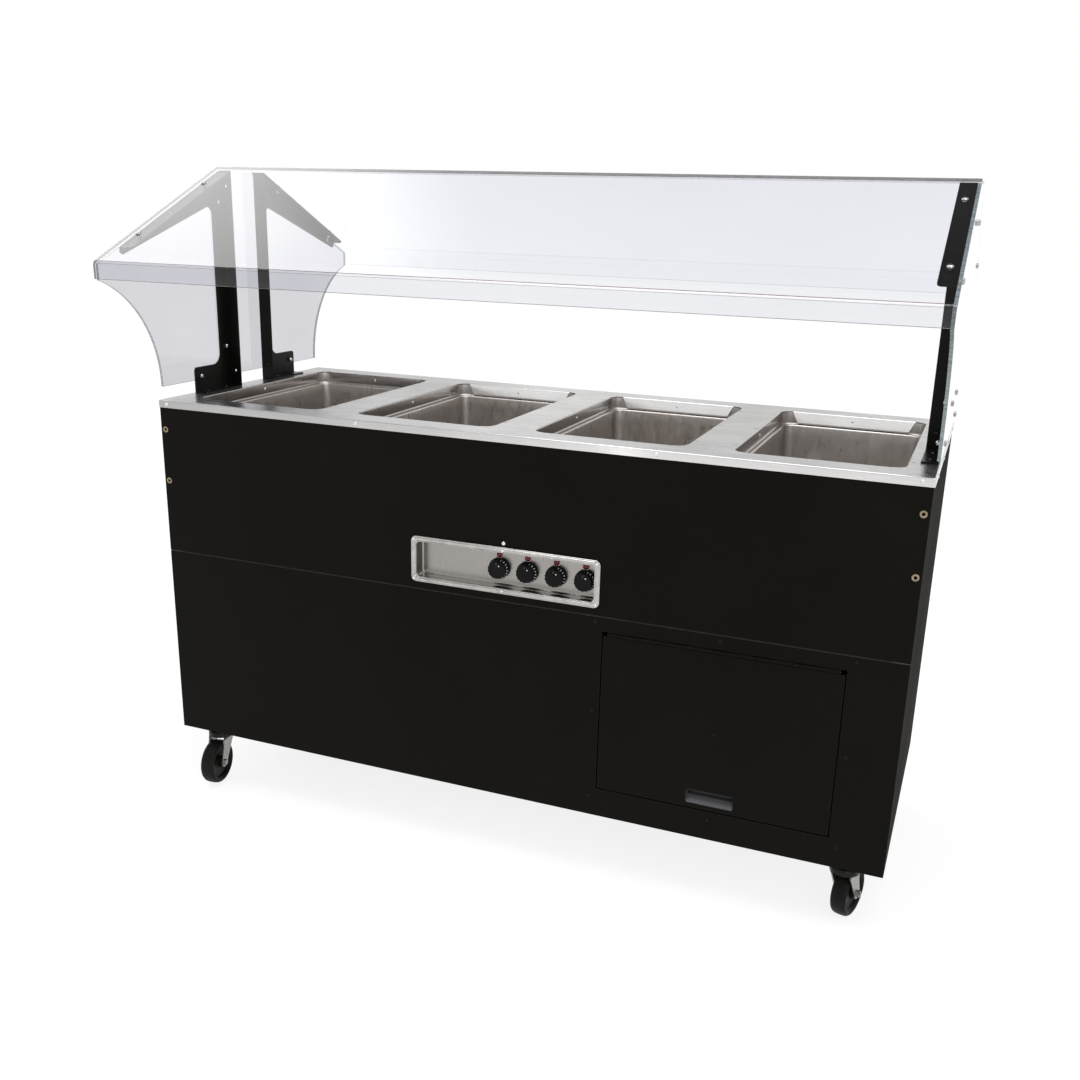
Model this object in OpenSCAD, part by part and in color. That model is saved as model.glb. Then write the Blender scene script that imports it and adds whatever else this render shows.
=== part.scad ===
// Portable four-well hot food table. An enclosed cabinet on swivel casters carries a
// stainless counter with four heated wells, and a double-sided clear food guard stands
// on sheet-metal brackets at both ends. Millimetres; the control side faces -Y, +X runs
// along the counter and +Z is up. The origin is on the floor under the counter's middle.

/* [Counter] */
// Height of the counter top above the floor
top_height = 893; // [850:1:1080]
// Thickness of the counter sheet
top_t = 1.5; // [1:0.1:2]
// Depth of the turned-down rim
rim_drop = 16; // [14:1:30]
// Corner radius of the rim seen from above
rim_r = 3; // [2.5:0.5:6]
// Counter margin between an end of the counter and the nearest well
end_land = 53.5; // [50:0.5:80]
// Counter margin in front of and behind the wells
side_land = 59.5; // [56:0.5:90]
// Distance of the outer rim screws from the counter's ends
rim_screw_end = 21; // [16:1:30]
// Distance of the inner rim screws from the counter's middle
rim_screw_mid = 311; // [200:1:400]
// Spacing of the four rim screws along each end
rim_screw_side = 167; // [120:1:167]

/* [Wells] */
// Opening of a well along the counter
well_w = 303; // [250:1:380]
// Opening of a well across the counter
well_d = 503; // [480:1:620]
// Counter width between two wells
well_land = 89; // [80:1:110]
// Corner radius of a well opening
well_r = 22; // [14:1:30]
// Depth of the counter's edges turned down into each well
well_turn = 22; // [16:1:22]
// Depth of the pan's ledge below the turned-down edges
ledge_gap = 4.5; // [2:0.5:10]
// Width of the ledge all round
ledge_w = 9; // [6:1:14]
// Depth of the pan below its ledge
well_depth = 140; // [110:1:180]
// Inward slope of the pan walls, from ledge to floor
well_taper = 4; // [0:1:8]
// Radius at the pan floor's edge
well_floor_r = 12; // [6:1:16]
// Sheet thickness of a pan
pan_t = 1; // [0.8:0.1:1.5]
// Width of the pan flange under the counter
pan_flange = 10; // [8:1:14]
// Thickness of the insulating jacket around a well
jacket_t = 8; // [6:1:12]
// Free height under a pan for its heating element
element_space = 28; // [24:1:36]
// Diameter of the sheathed heating element
element_d = 8; // [6:0.5:10]
// Spacing of the element's four straight runs
element_pitch = 60; // [50:1:64]
// Length of the element's straight runs
element_run = 340; // [260:1:360]

/* [Cabinet] */
// Sheet thickness of the cabinet panels
panel_t = 1.5; // [1:0.1:2]
// Thickness of the base sheet
base_t = 2; // [1.5:0.5:3]
// Leg width of the corner angles
post_w = 32; // [28:1:36]
// Thickness of the corner angles
post_t = 2.5; // [2:0.5:3]
// Depth of the rails under the counter
rail_h = 25; // [20:1:30]
// Width of the rails under the counter
rail_w = 24; // [20:1:24]
// Sheet thickness of the rails and of the ceiling over the storage space
rail_t = 1.5; // [1:0.1:2]
// Gap of the seam between the upper and lower front panels
seam = 1; // [0.5:0.5:2]
// Depth of the panel edges turned inward at the seam
seam_turn = 18; // [12:1:22]

/* [Controls] */
// Length of the recess for the controls
dish_w = 380; // [330:1:460]
// Height of the recess
dish_h = 73; // [70:1:90]
// Depth of the recess behind the panel face
dish_depth = 24; // [18:1:30]
// Place of the recess to the right of the cabinet's middle
dish_x = 13; // [-60:1:60]
// Width of the raised frame around the recess
bezel_w = 12; // [10:1:16]
// Height of the raised frame in front of the panel
bezel_t = 4; // [3:0.5:6]
// Diameter of a knob's skirt
knob_d = 43; // [36:1:44]
// Height of a knob
knob_h = 20; // [16:0.5:24]
// Spacing of the knobs
knob_pitch = 60.5; // [50:0.5:64]
// Distance of the last knob from the recess's right end
knob_edge = 26; // [24:0.5:40]
// Height of the knobs below the middle of the recess
knob_drop = 3; // [0:0.5:5]
// Diameter of a switch shaft
shaft_d = 6; // [5:0.5:6]
// Diameter of a pilot lamp's lens
lens_d = 13; // [10:0.5:14]
// Height of the pilot lamps above the knobs
lens_rise = 28; // [27:0.5:29]
// Free space between the well jackets and the control housing
control_gap = 7; // [5:1:20]

/* [Storage door] */
// Width of the door opening
door_w = 464; // [380:1:560]
// Middle of the door opening, to the right of the cabinet's middle
door_x = 454; // [380:1:470]
// Panel height left above the door opening
door_head = 29; // [27:1:40]
// Panel height left below the door opening
door_sill = 60; // [50:1:80]
// Gap above the door for its hinge
hinge_gap = 10; // [9:0.5:12]
// Gap at the sides and bottom of the door
door_gap = 3; // [2:0.5:5]
// Depth of the door's turned edges
door_t = 12; // [10:1:16]
// Knuckle radius of the door hinge
knuckle_r = 3; // [2.5:0.1:3.2]
// Pin radius of the door hinge
pin_r = 1.2; // [1:0.1:1.4]
// Number of hinge knuckles
knuckles = 11; // [5:2:15]
// Leaf height of the door hinge
leaf_h = 27; // [20:1:27]
// Width of the finger pull
pull_w = 94; // [80:1:140]
// Height of the finger pull's mouth
pull_h = 30; // [26:1:36]
// Height of the finger pull above the door's lower edge
pull_rise = 9; // [9:1:20]
// Depth of the finger pull
pull_depth = 26; // [22:1:34]

/* [Food guard] */
// Height of the guard's ridges above the counter
guard_height = 479; // [440:1:580]
// Distance of each ridge from the middle
ridge_y = 62; // [56:1:75]
// Distance of each lower crease from the middle
crease_y = 464; // [440:1:520]
// Slope of the clear panels, in degrees
guard_slope = 25.3; // [20:0.1:28]
// Height of the guard's lower lips above the counter
lip_z = 256; // [215:1:270]
// Thickness of the clear panels
glass_t = 6; // [5:0.5:8]
// Outer bend radius at the creases
crease_r = 10; // [9:0.5:14]
// Height of the end panels' lower edge above the counter
end_glass_z = 26; // [22:1:34]
// Half length of the end panels' lower edge
end_glass_y = 295; // [250:1:300]
// Radius of the end panels' curved cut-outs
arc_r = 235; // [220:1:240]
// Gap between neighbouring clear panels
glass_gap = 1; // [0.5:0.5:2]
// Sheet thickness of the brackets
bracket_t = 3; // [2:0.5:4]
// Width of the brackets' inward flanges
flange_w = 30; // [24:1:36]
// Distance of the brackets from the counter's ends
bracket_inset = 4; // [2:0.5:8]
// Width of a bracket's post
post_width = 37; // [32:1:44]
// Length of a bracket's foot from the post's inner edge
foot_len = 130; // [110:1:150]
// Height of a bracket's foot
foot_h = 55; // [46:1:62]
// Distance of the arms' outer ends from the middle
arm_y = 395; // [360:1:410]
// Depth of an arm at its outer end
arm_tip = 16; // [14:1:24]
// Depth of an arm at its post
arm_root = 54; // [44:1:64]
// Radius between a post and its foot
foot_r = 25; // [15:1:25]
// Radius between a post and its arm
arm_r = 15; // [10:1:20]

/* [Casters] */
// Wheel diameter
wheel_d = 100; // [90:1:125]
// Wheel width
wheel_w = 32; // [28:1:36]
// Height of the swivel and plate above the wheel
caster_over = 32; // [31:1:40]
// Distance of the swivels from the cabinet's ends
caster_end = 73; // [60:1:90]
// Distance of the swivels from the cabinet's front and rear
caster_side = 41; // [40:1:60]
// Distance of the axle from the swivel's centre line
caster_trail = 28; // [20:1:34]
// Headings of the wheels at rest: front left, front right, rear left, rear right
caster_heading = [-83, 74, 100, -88]; // [-180:1:180]

/* [Hidden] */
$fn = 48;

black = [0.10, 0.095, 0.085];
steel = [0.78, 0.78, 0.77];
pan_grey = [0.50, 0.49, 0.47];
zinc = [0.66, 0.67, 0.68];
clear = [0.86, 0.90, 0.93, 0.35];
ceramic = [0.85, 0.84, 0.80];
plastic = [0.05, 0.05, 0.05];
sheath = [0.35, 0.33, 0.31];
brass = [0.72, 0.58, 0.32];
red = [0.65, 0.05, 0.06];
rubber = [0.12, 0.12, 0.12];
pale = [0.92, 0.91, 0.88];
insulation = [0.80, 0.78, 0.70];

// Clearances
gap = 0.3;
run_fit = 0.05;
hole_fit = 0.15;
cut = 1;
drill = 12;
long_drill = 20;
deep_drill = 40;

// Screws and bolts: shank and head radii, head heights and shank lengths
m3_r = 1.5;
m3_head_r = 3;
m3_head_h = 1.6;
m3_len = 7;
m3_long = 10;
m4_r = 2;
m4_head_r = 4;
m4_head_h = 2;
m4_len = 8;
m4_long = 10;
m4_nut_r = 3.8;
m4_nut_h = 3;
m6_r = 3;
m6_head_r = 5.5;
m6_head_h = 3.2;
m6_nut_h = 4;
m6_dome_h = 2.4;
m6_dome_r = 4.6;

// Counter and cabinet
wells = 4;
well_pitch = well_w + well_land;
top_len = wells * well_w + (wells - 1) * well_land + 2 * end_land;
top_dep = well_d + 2 * side_land;
under_z = top_height - top_t;
rim_in_r = 0.6;
body_x = top_len / 2 - top_t - gap;
body_y = top_dep / 2 - top_t - gap;
in_x = body_x - panel_t;
in_y = body_y - panel_t;
turn_x = in_x - post_w - gap;
caster_h = wheel_d + caster_over;
base_z = caster_h + base_t;

// Wells
ledge_z = under_z - well_turn - ledge_gap;
collar_in = top_t + gap;
collar_w = well_w + 2 * collar_in;
collar_d = well_d + 2 * collar_in;
collar_r = well_r + collar_in;
screw_z = under_z - well_turn / 2;
turn_cut = 12;
slit_len = 8;
slit_w = 1.4;
slit_out = 7;
floor_z = ledge_z - well_depth;
pan_w = well_w - 2 * ledge_w;
pan_d = well_d - 2 * ledge_w;
pan_r = well_r - ledge_w / 2;
pan_rings = 5;
element_z = floor_z - pan_t - element_d / 2 - gap;
jacket_floor_z = floor_z - pan_t - element_space;
jacket_bottom = jacket_floor_z - jacket_t;
elbow_r = element_d + 4;
terminal_len = 34;
strap_y = element_run / 4;
strap_t = 1.5;
strap_w = 18;
strap_over = 8;
stud_r = 2.5;
stud_tail = 6;
stud_nut_r = 4.6;
stud_nut_h = 4;
sliver = 0.01;

// Controls
housing_margin = 21.5;
housing_h = dish_h + 2 * housing_margin;
housing_w = dish_w + 2 * housing_margin;
housing_d = 70;
housing_t = 1;
control_z = jacket_bottom - control_gap - housing_h / 2;
dish_t = 1;
dish_turn = 8;
dish_r = 8;
dish_floor_y = -body_y + dish_depth;
knob_z = control_z - knob_drop;
knob_x0 = dish_x + dish_w / 2 - knob_edge - (wells - 1) * knob_pitch;
lens_z = knob_z + lens_rise;
bushing_r = 4.75;
bushing_h = 4;
bushing_nut_r = 7.5;
bushing_nut_h = 1.8;
switch_w = 32;
switch_len = 30;
shaft_in = 10;
tab_t = 0.8;
tab_w = 6.3;
tab_len = 8;
knob_lift = 4.5;
knob_bore = 9;
knob_skirt = 3;
knob_mark = 1.6;
flutes = 14;
flute_r = 2.2;
flute_depth = 1;
lamp_len = 18;
lamp_ring_h = 1.2;
lamp_seat = 2;
seam_z = control_z - dish_h / 2 - bezel_w - 15.5;

// Inserts and rear panel
insert_in = 11.2;
insert_top = 63;
insert_pitch = 112;
insert_r = 4.5;
insert_len = 14;
insert_flange_r = 6.5;
insert_flange_t = 1;
rear_screw_in = 14;
rear_screw_low = 45;
rear_screw_top = 60;
gland_x = -body_x + 90;
gland_z = seam_z + 60;
gland_r = 11;
gland_bore_r = 6;
block_w = 100;
block_d = 34;
block_h = 26;
block_ways = 5;
block_way_w = 14;

// Storage door
open_z0 = caster_h + door_sill;
open_z1 = seam_z - door_head;
open_h = open_z1 - open_z0;
hinge_z = open_z1 - hinge_gap / 2;
leaf_t = 1;
hinge_y = -in_y + leaf_t - knuckle_r;
hinge_len = door_w - 24;
knuckle_len = hinge_len / knuckles;
knuckle_gap = 0.3;
leaf_clear = knuckle_r + 0.5;
door_z0 = open_z0 + door_gap;
door_z1 = open_z1 - hinge_gap;
frame_lip = 12;
frame_edge = 27;
frame_step = 2;
door_screw_out = 14;
door_screw_up = 17.5;
stop_y = -body_y + door_t + 0.5;
pull_z0 = door_z0 + pull_rise;
pull_t = 1.2;
pull_grip = 8;
pull_ramp = 12;
pull_edge = 3;

// Food guard
slope_sin = sin(guard_slope);
slope_cos = cos(guard_slope);
ridge_z = top_height + guard_height;
web_x = top_len / 2 - bracket_inset;
end_glass_x = web_x + gap;
glass_len = 2 * (end_glass_x + glass_t);
arc_y = end_glass_y + arc_r;
arc_z = top_height + end_glass_z + 4;
crease_c_y = crease_y - crease_r;
crease_c_z = ridge_z - (crease_r + (crease_c_y - ridge_y) * slope_sin) / slope_cos;
arm_drop = glass_t + gap;
slope_bolt_y = [ridge_y + 76, arm_y - 40];
post_bolt_in = 16;
post_bolt_z = [guard_height - 73, foot_h + 37];
foot_bolt = [ridge_y + foot_len - 18, 35];
arm_bolt_y = arm_y - 33;
post_hole_z = [36, guard_height - 40];
foot_screw_in = 11;
corner_r = 8;
tip_cut = 6;
bend_steps = 10;

// Casters
caster_sides = [[-1, -1], [1, -1], [-1, 1], [1, 1]];
caster_x = body_x - caster_end;
caster_y = body_y - caster_side;
plate_t = 3;
plate_w = 92;
plate_d = 64;
plate_bolt_x = 74;
plate_bolt_y = 44;
plate_r = 5;
race_r = 27;
kingpin_r = 5;
kingpin_head = 5;
leg_t = 3;
leg_end_r = 11;
axle_r = 4;
axle_head_r = 7;
axle_nut_h = 5;
axle_head_h = 4;
wheel_r = wheel_d / 2;
tread_r = 6;
hub_r = 13;
rim_band = 16;
hub_gap = 0.2;
leg_in = wheel_w / 2 + 1.5;
fork_top = caster_h - plate_t - 6;
fork_crown = wheel_d + 9;
channel_w = 96;
channel_h = 24;

// Height of a clear panel's outer face at a distance from the middle
function slope_z(y, depth = 0) = ridge_z - tan(guard_slope) * (y - ridge_y) - depth / slope_cos;

// Place of a well along the counter
function well_x(i) = (i - (wells - 1) / 2) * well_pitch;

// Points of an arc about a centre
function arc(c, r, a0, a1, n) = [for (k = [0 : n]) let (a = a0 + (a1 - a0) * k / n)
    [c[0] + r * cos(a), c[1] + r * sin(a)]];

module rounded_rect(w, d, r) {
    square([w - 2 * r, d], center = true);
    square([w, d - 2 * r], center = true);
    for (sx = [-1, 1], sy = [-1, 1]) translate([sx * (w / 2 - r), sy * (d / 2 - r)]) circle(r = r);
}

module slab(w, d, h, r) {
    linear_extrude(h) rounded_rect(w, d, r);
}

// A box given by its low and high corners
module span(a, b) {
    translate(a) cube([b[0] - a[0], b[1] - a[1], b[2] - a[2]]);
}

// Turns a drawing in Y and Z into a plate that runs along X
module along_x(x0, length) {
    translate([x0, 0, 0]) rotate([90, 0, 90]) linear_extrude(length) children();
}

// Turns something built along +Z towards the front
module face_front() {
    rotate([90, 0, 0]) children();
}

// Pan-head screw: its head stands on the surface at z = 0, its shank goes down
module pan_screw(r, length, head_r, head_h) {
    rotate_extrude() polygon([[0, -length], [r, -length], [r, 0], [head_r, 0],
        [head_r, head_h * 0.35], [head_r * 0.8, head_h * 0.8], [head_r * 0.4, head_h], [0, head_h]]);
}

// Button-head bolt through a grip, with an acorn nut on its far side
module guard_bolt(grip) {
    pan_screw(m6_r - hole_fit, grip + m6_nut_h, m6_head_r, m6_head_h);
    translate([0, 0, -grip]) mirror([0, 0, 1]) difference() {
        union() {
            cylinder(h = m6_nut_h, r = m6_head_r, $fn = 6);
            translate([0, 0, m6_nut_h]) cylinder(h = m6_dome_h, r1 = m6_dome_r, r2 = m6_r);
        }
        translate([0, 0, -cut]) cylinder(h = cut + m6_nut_h, r = m6_r - hole_fit);
    }
}

// ---- Counter and wells ----

module rim_screw_places() {
    for (x = [-top_len / 2 + rim_screw_end, -rim_screw_mid, rim_screw_mid, top_len / 2 - rim_screw_end])
        for (turn = [0, 180]) rotate([0, 0, turn])
            translate([x, -top_dep / 2, top_height - rim_drop / 2]) face_front() children();
    for (k = [-1.5 : 1 : 1.5]) for (turn = [0, 180]) rotate([0, 0, turn])
        translate([top_len / 2, k * rim_screw_side, top_height - rim_drop / 2])
            rotate([0, 90, 0]) children();
}

// Short slits beside a well, three along each long side
module slit_places() {
    for (sx = [-1, 1], k = [-0.38, 0, 0.38])
        translate([sx * (well_w / 2 + slit_out), k * well_d, 0]) children();
}

// Edge turned down into a well: its face is flush with the opening, its ends are cut aslant
module turned_edge(place, length) {
    half = length / 2 - well_r;
    translate([0, place, under_z]) rotate([-90, 0, 0]) linear_extrude(top_t)
        polygon([[-half, 0], [half, 0], [half - turn_cut, well_turn], [turn_cut - half, well_turn]]);
}

module turned_edges() {
    for (i = [0 : wells - 1]) translate([well_x(i), 0, 0]) difference() {
        for (turn = [0, 180]) rotate([0, 0, turn]) {
            turned_edge(well_d / 2, well_w);
            rotate([0, 0, 90]) turned_edge(well_w / 2, well_d);
        }
        well_screw_places() cylinder(h = drill, r = m3_r + hole_fit, center = true);
    }
}

module countertop() {
    color(steel) turned_edges();
    color(steel) difference() {
        translate([0, 0, top_height - rim_drop]) slab(top_len, top_dep, rim_drop, rim_r);
        translate([0, 0, top_height - rim_drop - cut])
            slab(top_len - 2 * top_t, top_dep - 2 * top_t, rim_drop - top_t + cut, rim_in_r);
        for (i = [0 : wells - 1]) translate([well_x(i), 0, under_z - cut]) {
            slab(well_w, well_d, top_t + 2 * cut, well_r);
            slit_places() cube([slit_len, slit_w, deep_drill], center = true);
        }
        rim_screw_places() cylinder(h = drill, r = m4_r + hole_fit, center = true);
        bracket_screw_places() cylinder(h = long_drill, r = m4_r + hole_fit, center = true);
    }
}

// Tapered pan below the ledge, its floor edge rounded; grow makes the outside
module pan_form(grow, rise) {
    hull() {
        translate([0, 0, ledge_z]) slab(pan_w + 2 * grow, pan_d + 2 * grow, rise, pan_r, $fn = 24);
        for (k = [0 : pan_rings - 1]) let (a = 90 * k / (pan_rings - 1), s = grow + well_floor_r)
            translate([0, 0, floor_z + well_floor_r - s * sin(a)])
                slab(pan_w - 2 * (well_taper + well_floor_r - s * cos(a)),
                    pan_d - 2 * (well_taper + well_floor_r - s * cos(a)), sliver, pan_r - 4, $fn = 24);
    }
}

module well_pan(i) {
    color(pan_grey) translate([well_x(i), 0, 0]) difference() {
        union() {
            translate([0, 0, under_z - pan_t])
                slab(well_w + 2 * pan_flange, well_d + 2 * pan_flange, pan_t, well_r + pan_flange);
            translate([0, 0, ledge_z - pan_t])
                slab(collar_w + 2 * pan_t, collar_d + 2 * pan_t, under_z - ledge_z + pan_t,
                    collar_r + pan_t);
            pan_form(pan_t, sliver);
        }
        translate([0, 0, ledge_z]) slab(collar_w, collar_d, top_height - ledge_z, collar_r);
        pan_form(0, cut);
        well_screw_places() cylinder(h = drill, r = m3_r + hole_fit, center = true);
    }
}

module well_pan_1() { well_pan(0); }
module well_pan_2() { well_pan(1); }
module well_pan_3() { well_pan(2); }
module well_pan_4() { well_pan(3); }

// One screw in each turned-down edge, its head inside the well
module well_screw_places() {
    for (turn = [0, 180]) rotate([0, 0, turn]) {
        translate([0, well_d / 2, screw_z]) face_front() children();
        translate([well_w / 2, 0, screw_z]) rotate([0, -90, 0]) children();
    }
}

module well_screws() {
    color(zinc) for (i = [0 : wells - 1]) translate([well_x(i), 0, 0])
        well_screw_places() pan_screw(m3_r, m3_len, m3_head_r, m3_head_h);
}

// Places of the element's upright terminals in one well
module terminal_places() {
    for (k = [-1.5, 1.5]) translate([k * element_pitch, -element_run / 2 - elbow_r, 0]) children();
}

// One tube bent into four runs, with both ends turned down through the jacket
module heating_element() {
    r = element_d / 2;
    translate([0, 0, element_z]) {
        for (k = [-1.5 : 1 : 1.5]) translate([k * element_pitch, -element_run / 2, 0])
            rotate([-90, 0, 0]) cylinder(h = element_run, r = r);
        for (k = [-1, 0, 1]) translate([k * element_pitch, (k == 0 ? -1 : 1) * element_run / 2, 0])
            rotate([0, 0, k == 0 ? 180 : 0]) rotate_extrude(angle = 180)
                translate([element_pitch / 2, 0]) circle(r = r);
    }
    for (k = [-1.5, 1.5]) translate([k * element_pitch, -element_run / 2, element_z - elbow_r])
        rotate([90, 0, 90]) rotate([0, 0, 90]) rotate_extrude(angle = 90)
            translate([elbow_r, 0]) circle(r = r);
    translate([0, 0, element_z - elbow_r - terminal_len])
        terminal_places() cylinder(h = terminal_len, r = r);
}

module heating_elements() {
    color(sheath) for (i = [0 : wells - 1]) translate([well_x(i), 0, 0]) heating_element();
}

// Straps that hold each element up against its pan, on studs and nuts
module element_clamps() {
    strap_len = 3 * element_pitch + element_d + 2 * strap_over;
    strap_z = element_z - element_d / 2 - strap_t;
    color(zinc) for (i = [0 : wells - 1], s = [-1, 1])
        translate([well_x(i), s * strap_y, strap_z]) {
            translate([-strap_len / 2, -strap_w / 2, 0]) cube([strap_len, strap_w, strap_t]);
            translate([0, 0, -stud_tail]) cylinder(h = floor_z - pan_t - strap_z + stud_tail, r = stud_r);
            translate([0, 0, -stud_nut_h]) cylinder(h = stud_nut_h, r = stud_nut_r, $fn = 6);
        }
}

module well_jackets() {
    inner_w = collar_w + 2 * pan_t + 2 * gap;
    inner_d = collar_d + 2 * pan_t + 2 * gap;
    inner_r = collar_r + pan_t + gap;
    jacket_top = under_z - pan_t;
    color(insulation) for (i = [0 : wells - 1]) translate([well_x(i), 0, 0]) difference() {
        translate([0, 0, jacket_bottom])
            slab(inner_w + 2 * jacket_t, inner_d + 2 * jacket_t, jacket_top - jacket_bottom,
                inner_r + jacket_t);
        translate([0, 0, jacket_floor_z])
            slab(inner_w, inner_d, jacket_top - jacket_floor_z + cut, inner_r);
        translate([0, 0, jacket_bottom - cut]) terminal_places()
            cylinder(h = jacket_t + 2 * cut, r = element_d / 2 + gap);
        well_screw_places() cylinder(h = long_drill, r = m3_r + hole_fit, center = true);
    }
}

// ---- Cabinet ----

// Tray-slide inserts: two near each end of the upper front panel
module insert_places() {
    for (sx = [-1, 1], k = [0, 1])
        translate([sx * (body_x - insert_in), -body_y, top_height - insert_top - k * insert_pitch])
            face_front() children();
}

module bezel_screw_places() {
    bx = dish_w / 2 + bezel_w / 2 - 1;
    bz = dish_h / 2 + bezel_w / 2 - 1;
    for (x = [-bx, 0, bx], z = [-bz, bz])
        translate([dish_x + x, -body_y - dish_t, control_z + z]) face_front() children();
}

module front_upper_panel() {
    cut_w = dish_w + 2 * dish_t + 2 * gap;
    cut_h = dish_h + 2 * dish_t + 2 * gap;
    color(black) difference() {
        union() {
            span([-body_x, -body_y, seam_z + seam / 2], [body_x, -in_y, under_z]);
            span([-turn_x, -in_y, seam_z + seam / 2],
                [turn_x, -in_y + seam_turn, seam_z + seam / 2 + panel_t]);
        }
        translate([dish_x, -body_y + panel_t + cut, control_z]) face_front()
            slab(cut_w, cut_h, panel_t + 2 * cut, dish_r + dish_t + gap);
        insert_places() cylinder(h = drill, r = insert_r + hole_fit, center = true);
        bezel_screw_places() cylinder(h = drill, r = m3_r + hole_fit, center = true);
        rim_screw_places() cylinder(h = drill, r = m4_r + hole_fit, center = true);
        housing_screw_place() cylinder(h = drill, r = m4_r + hole_fit, center = true);
    }
}

// Screws around the door opening: three above, three below, one at each side
module door_screw_places() {
    dx = door_w / 2 + door_screw_out;
    places = [for (x = [-dx, 0, dx]) [x, door_screw_up]];
    for (p = places) translate([door_x + p[0], -body_y, open_z1 + p[1]]) face_front() children();
    for (p = places) translate([door_x + p[0], -body_y, open_z0 - p[1]]) face_front() children();
    for (s = [-1, 1]) translate([door_x + s * dx, -body_y, open_z0 + open_h / 2]) face_front() children();
}

module front_lower_panel() {
    top = seam_z - seam / 2;
    color(black) difference() {
        union() {
            span([-body_x, -body_y, caster_h], [body_x, -in_y, top]);
            span([-turn_x, -in_y, top - panel_t], [turn_x, -in_y + seam_turn, top]);
        }
        translate([door_x, -in_y + cut, (open_z0 + open_z1) / 2]) face_front()
            slab(door_w, open_h, panel_t + 2 * cut, 2);
        door_screw_places() cylinder(h = drill, r = m4_r + hole_fit, center = true);
    }
}

module side_panel() {
    color(black) difference() {
        span([in_x, -in_y, caster_h], [body_x, in_y, under_z]);
        rim_screw_places() cylinder(h = drill, r = m4_r + hole_fit, center = true);
    }
}

module right_panel() {
    side_panel();
}

module left_panel() {
    mirror([1, 0, 0]) side_panel();
}

// Three rows of three screws on the rear panel
module rear_screw_places() {
    for (x = [-1, 0, 1], z = [caster_h + rear_screw_low, seam_z - rail_h / 2, top_height - rear_screw_top])
        translate([x * (body_x - rear_screw_in), body_y, z]) rotate([-90, 0, 0]) children();
}

module rear_panel() {
    color(black) difference() {
        span([-body_x, in_y, caster_h], [body_x, body_y, under_z]);
        rim_screw_places() cylinder(h = drill, r = m4_r + hole_fit, center = true);
        rear_screw_places() cylinder(h = drill, r = m4_r + hole_fit, center = true);
        translate([gland_x, body_y, gland_z]) face_front() cylinder(h = drill, r = gland_r, center = true);
    }
}

// Flat base with its edges turned up between the corner posts
module base_panel() {
    x = in_x - gap;
    y = in_y - gap;
    turn = 20;
    notch = post_w + gap;
    color(black) difference() {
        union() {
            span([-x, -y, caster_h], [x, y, base_z]);
            for (s = [0, 180]) rotate([0, 0, s]) {
                span([-x + notch, -y, base_z], [x - notch, -y + base_t, base_z + turn]);
                span([-x, -y + notch, base_z], [-x + base_t, y - notch, base_z + turn]);
            }
        }
        caster_bolt_places() cylinder(h = long_drill, r = m6_r + hole_fit, center = true);
    }
}

// Channels across the base that take the caster bolts
module caster_channels() {
    length = 2 * (in_y - gap - base_t - gap);
    color(zinc) difference() {
        for (s = [-1, 1]) translate([s * caster_x - channel_w / 2, -length / 2, base_z]) difference() {
            cube([channel_w, length, channel_h]);
            translate([rail_t, -cut, rail_t])
                cube([channel_w - 2 * rail_t, length + 2 * cut, channel_h]);
        }
        caster_bolt_places() cylinder(h = long_drill, r = m6_r + hole_fit, center = true);
    }
}

// Angles in the four corners, from the base to the counter
module corner_posts() {
    color(zinc) for (sx = [-1, 1], sy = [-1, 1]) difference() {
        scale([sx, sy, 1]) difference() {
            span([in_x - post_w, in_y - post_w, base_z], [in_x, in_y, under_z]);
            span([in_x - post_w - cut, in_y - post_w - cut, base_z - cut],
                [in_x - post_t, in_y - post_t, under_z + cut]);
        }
        insert_places() cylinder(h = deep_drill, r = insert_r + hole_fit, center = true);
        rim_screw_places() cylinder(h = long_drill, r = m4_r + hole_fit, center = true);
        rear_screw_places() cylinder(h = long_drill, r = m4_r + hole_fit, center = true);
    }
}

// C-shaped rail along X: its back stands against a panel
module c_rail(x0, x1, back_y, z1) {
    difference() {
        span([x0, back_y, z1 - rail_h], [x1, back_y + rail_w, z1]);
        span([x0 - cut, back_y + rail_t, z1 - rail_h + rail_t],
            [x1 + cut, back_y + rail_w + cut, z1 - rail_t]);
    }
}

module top_rails() {
    half = turn_x;
    color(zinc) difference() {
        for (turn = [0, 180]) rotate([0, 0, turn]) c_rail(-half, half, -in_y, under_z);
        rim_screw_places() cylinder(h = drill, r = m4_r + hole_fit, center = true);
        rear_screw_places() cylinder(h = drill, r = m4_r + hole_fit, center = true);
    }
}

// Rails across the cabinet: channels between the wells, angles at both ends
module cross_rails() {
    half_y = in_y - rail_w - gap;
    end_y = in_y - post_w - gap;
    rail_x = well_land / 2 - collar_in - pan_t - gap - jacket_t - 4;
    color(zinc) {
        for (i = [1 : wells - 1]) translate([well_x(i) - well_pitch / 2, 0, 0]) difference() {
            span([-rail_x, -half_y, under_z - rail_h], [rail_x, half_y, under_z]);
            span([-rail_x + rail_t, -half_y - cut, under_z - rail_h - cut],
                [rail_x - rail_t, half_y + cut, under_z - rail_t]);
        }
        difference() {
            for (turn = [0, 180]) rotate([0, 0, turn]) difference() {
                span([in_x - rail_w, -end_y, under_z - rail_h], [in_x, end_y, under_z]);
                span([in_x - rail_w - cut, -end_y - cut, under_z - rail_h - cut],
                    [in_x - rail_t, end_y + cut, under_z - rail_t]);
            }
            rim_screw_places() cylinder(h = drill, r = m4_r + hole_fit, center = true);
            bracket_screw_places() cylinder(h = long_drill, r = m4_r + hole_fit, center = true);
        }
    }
}

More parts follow.
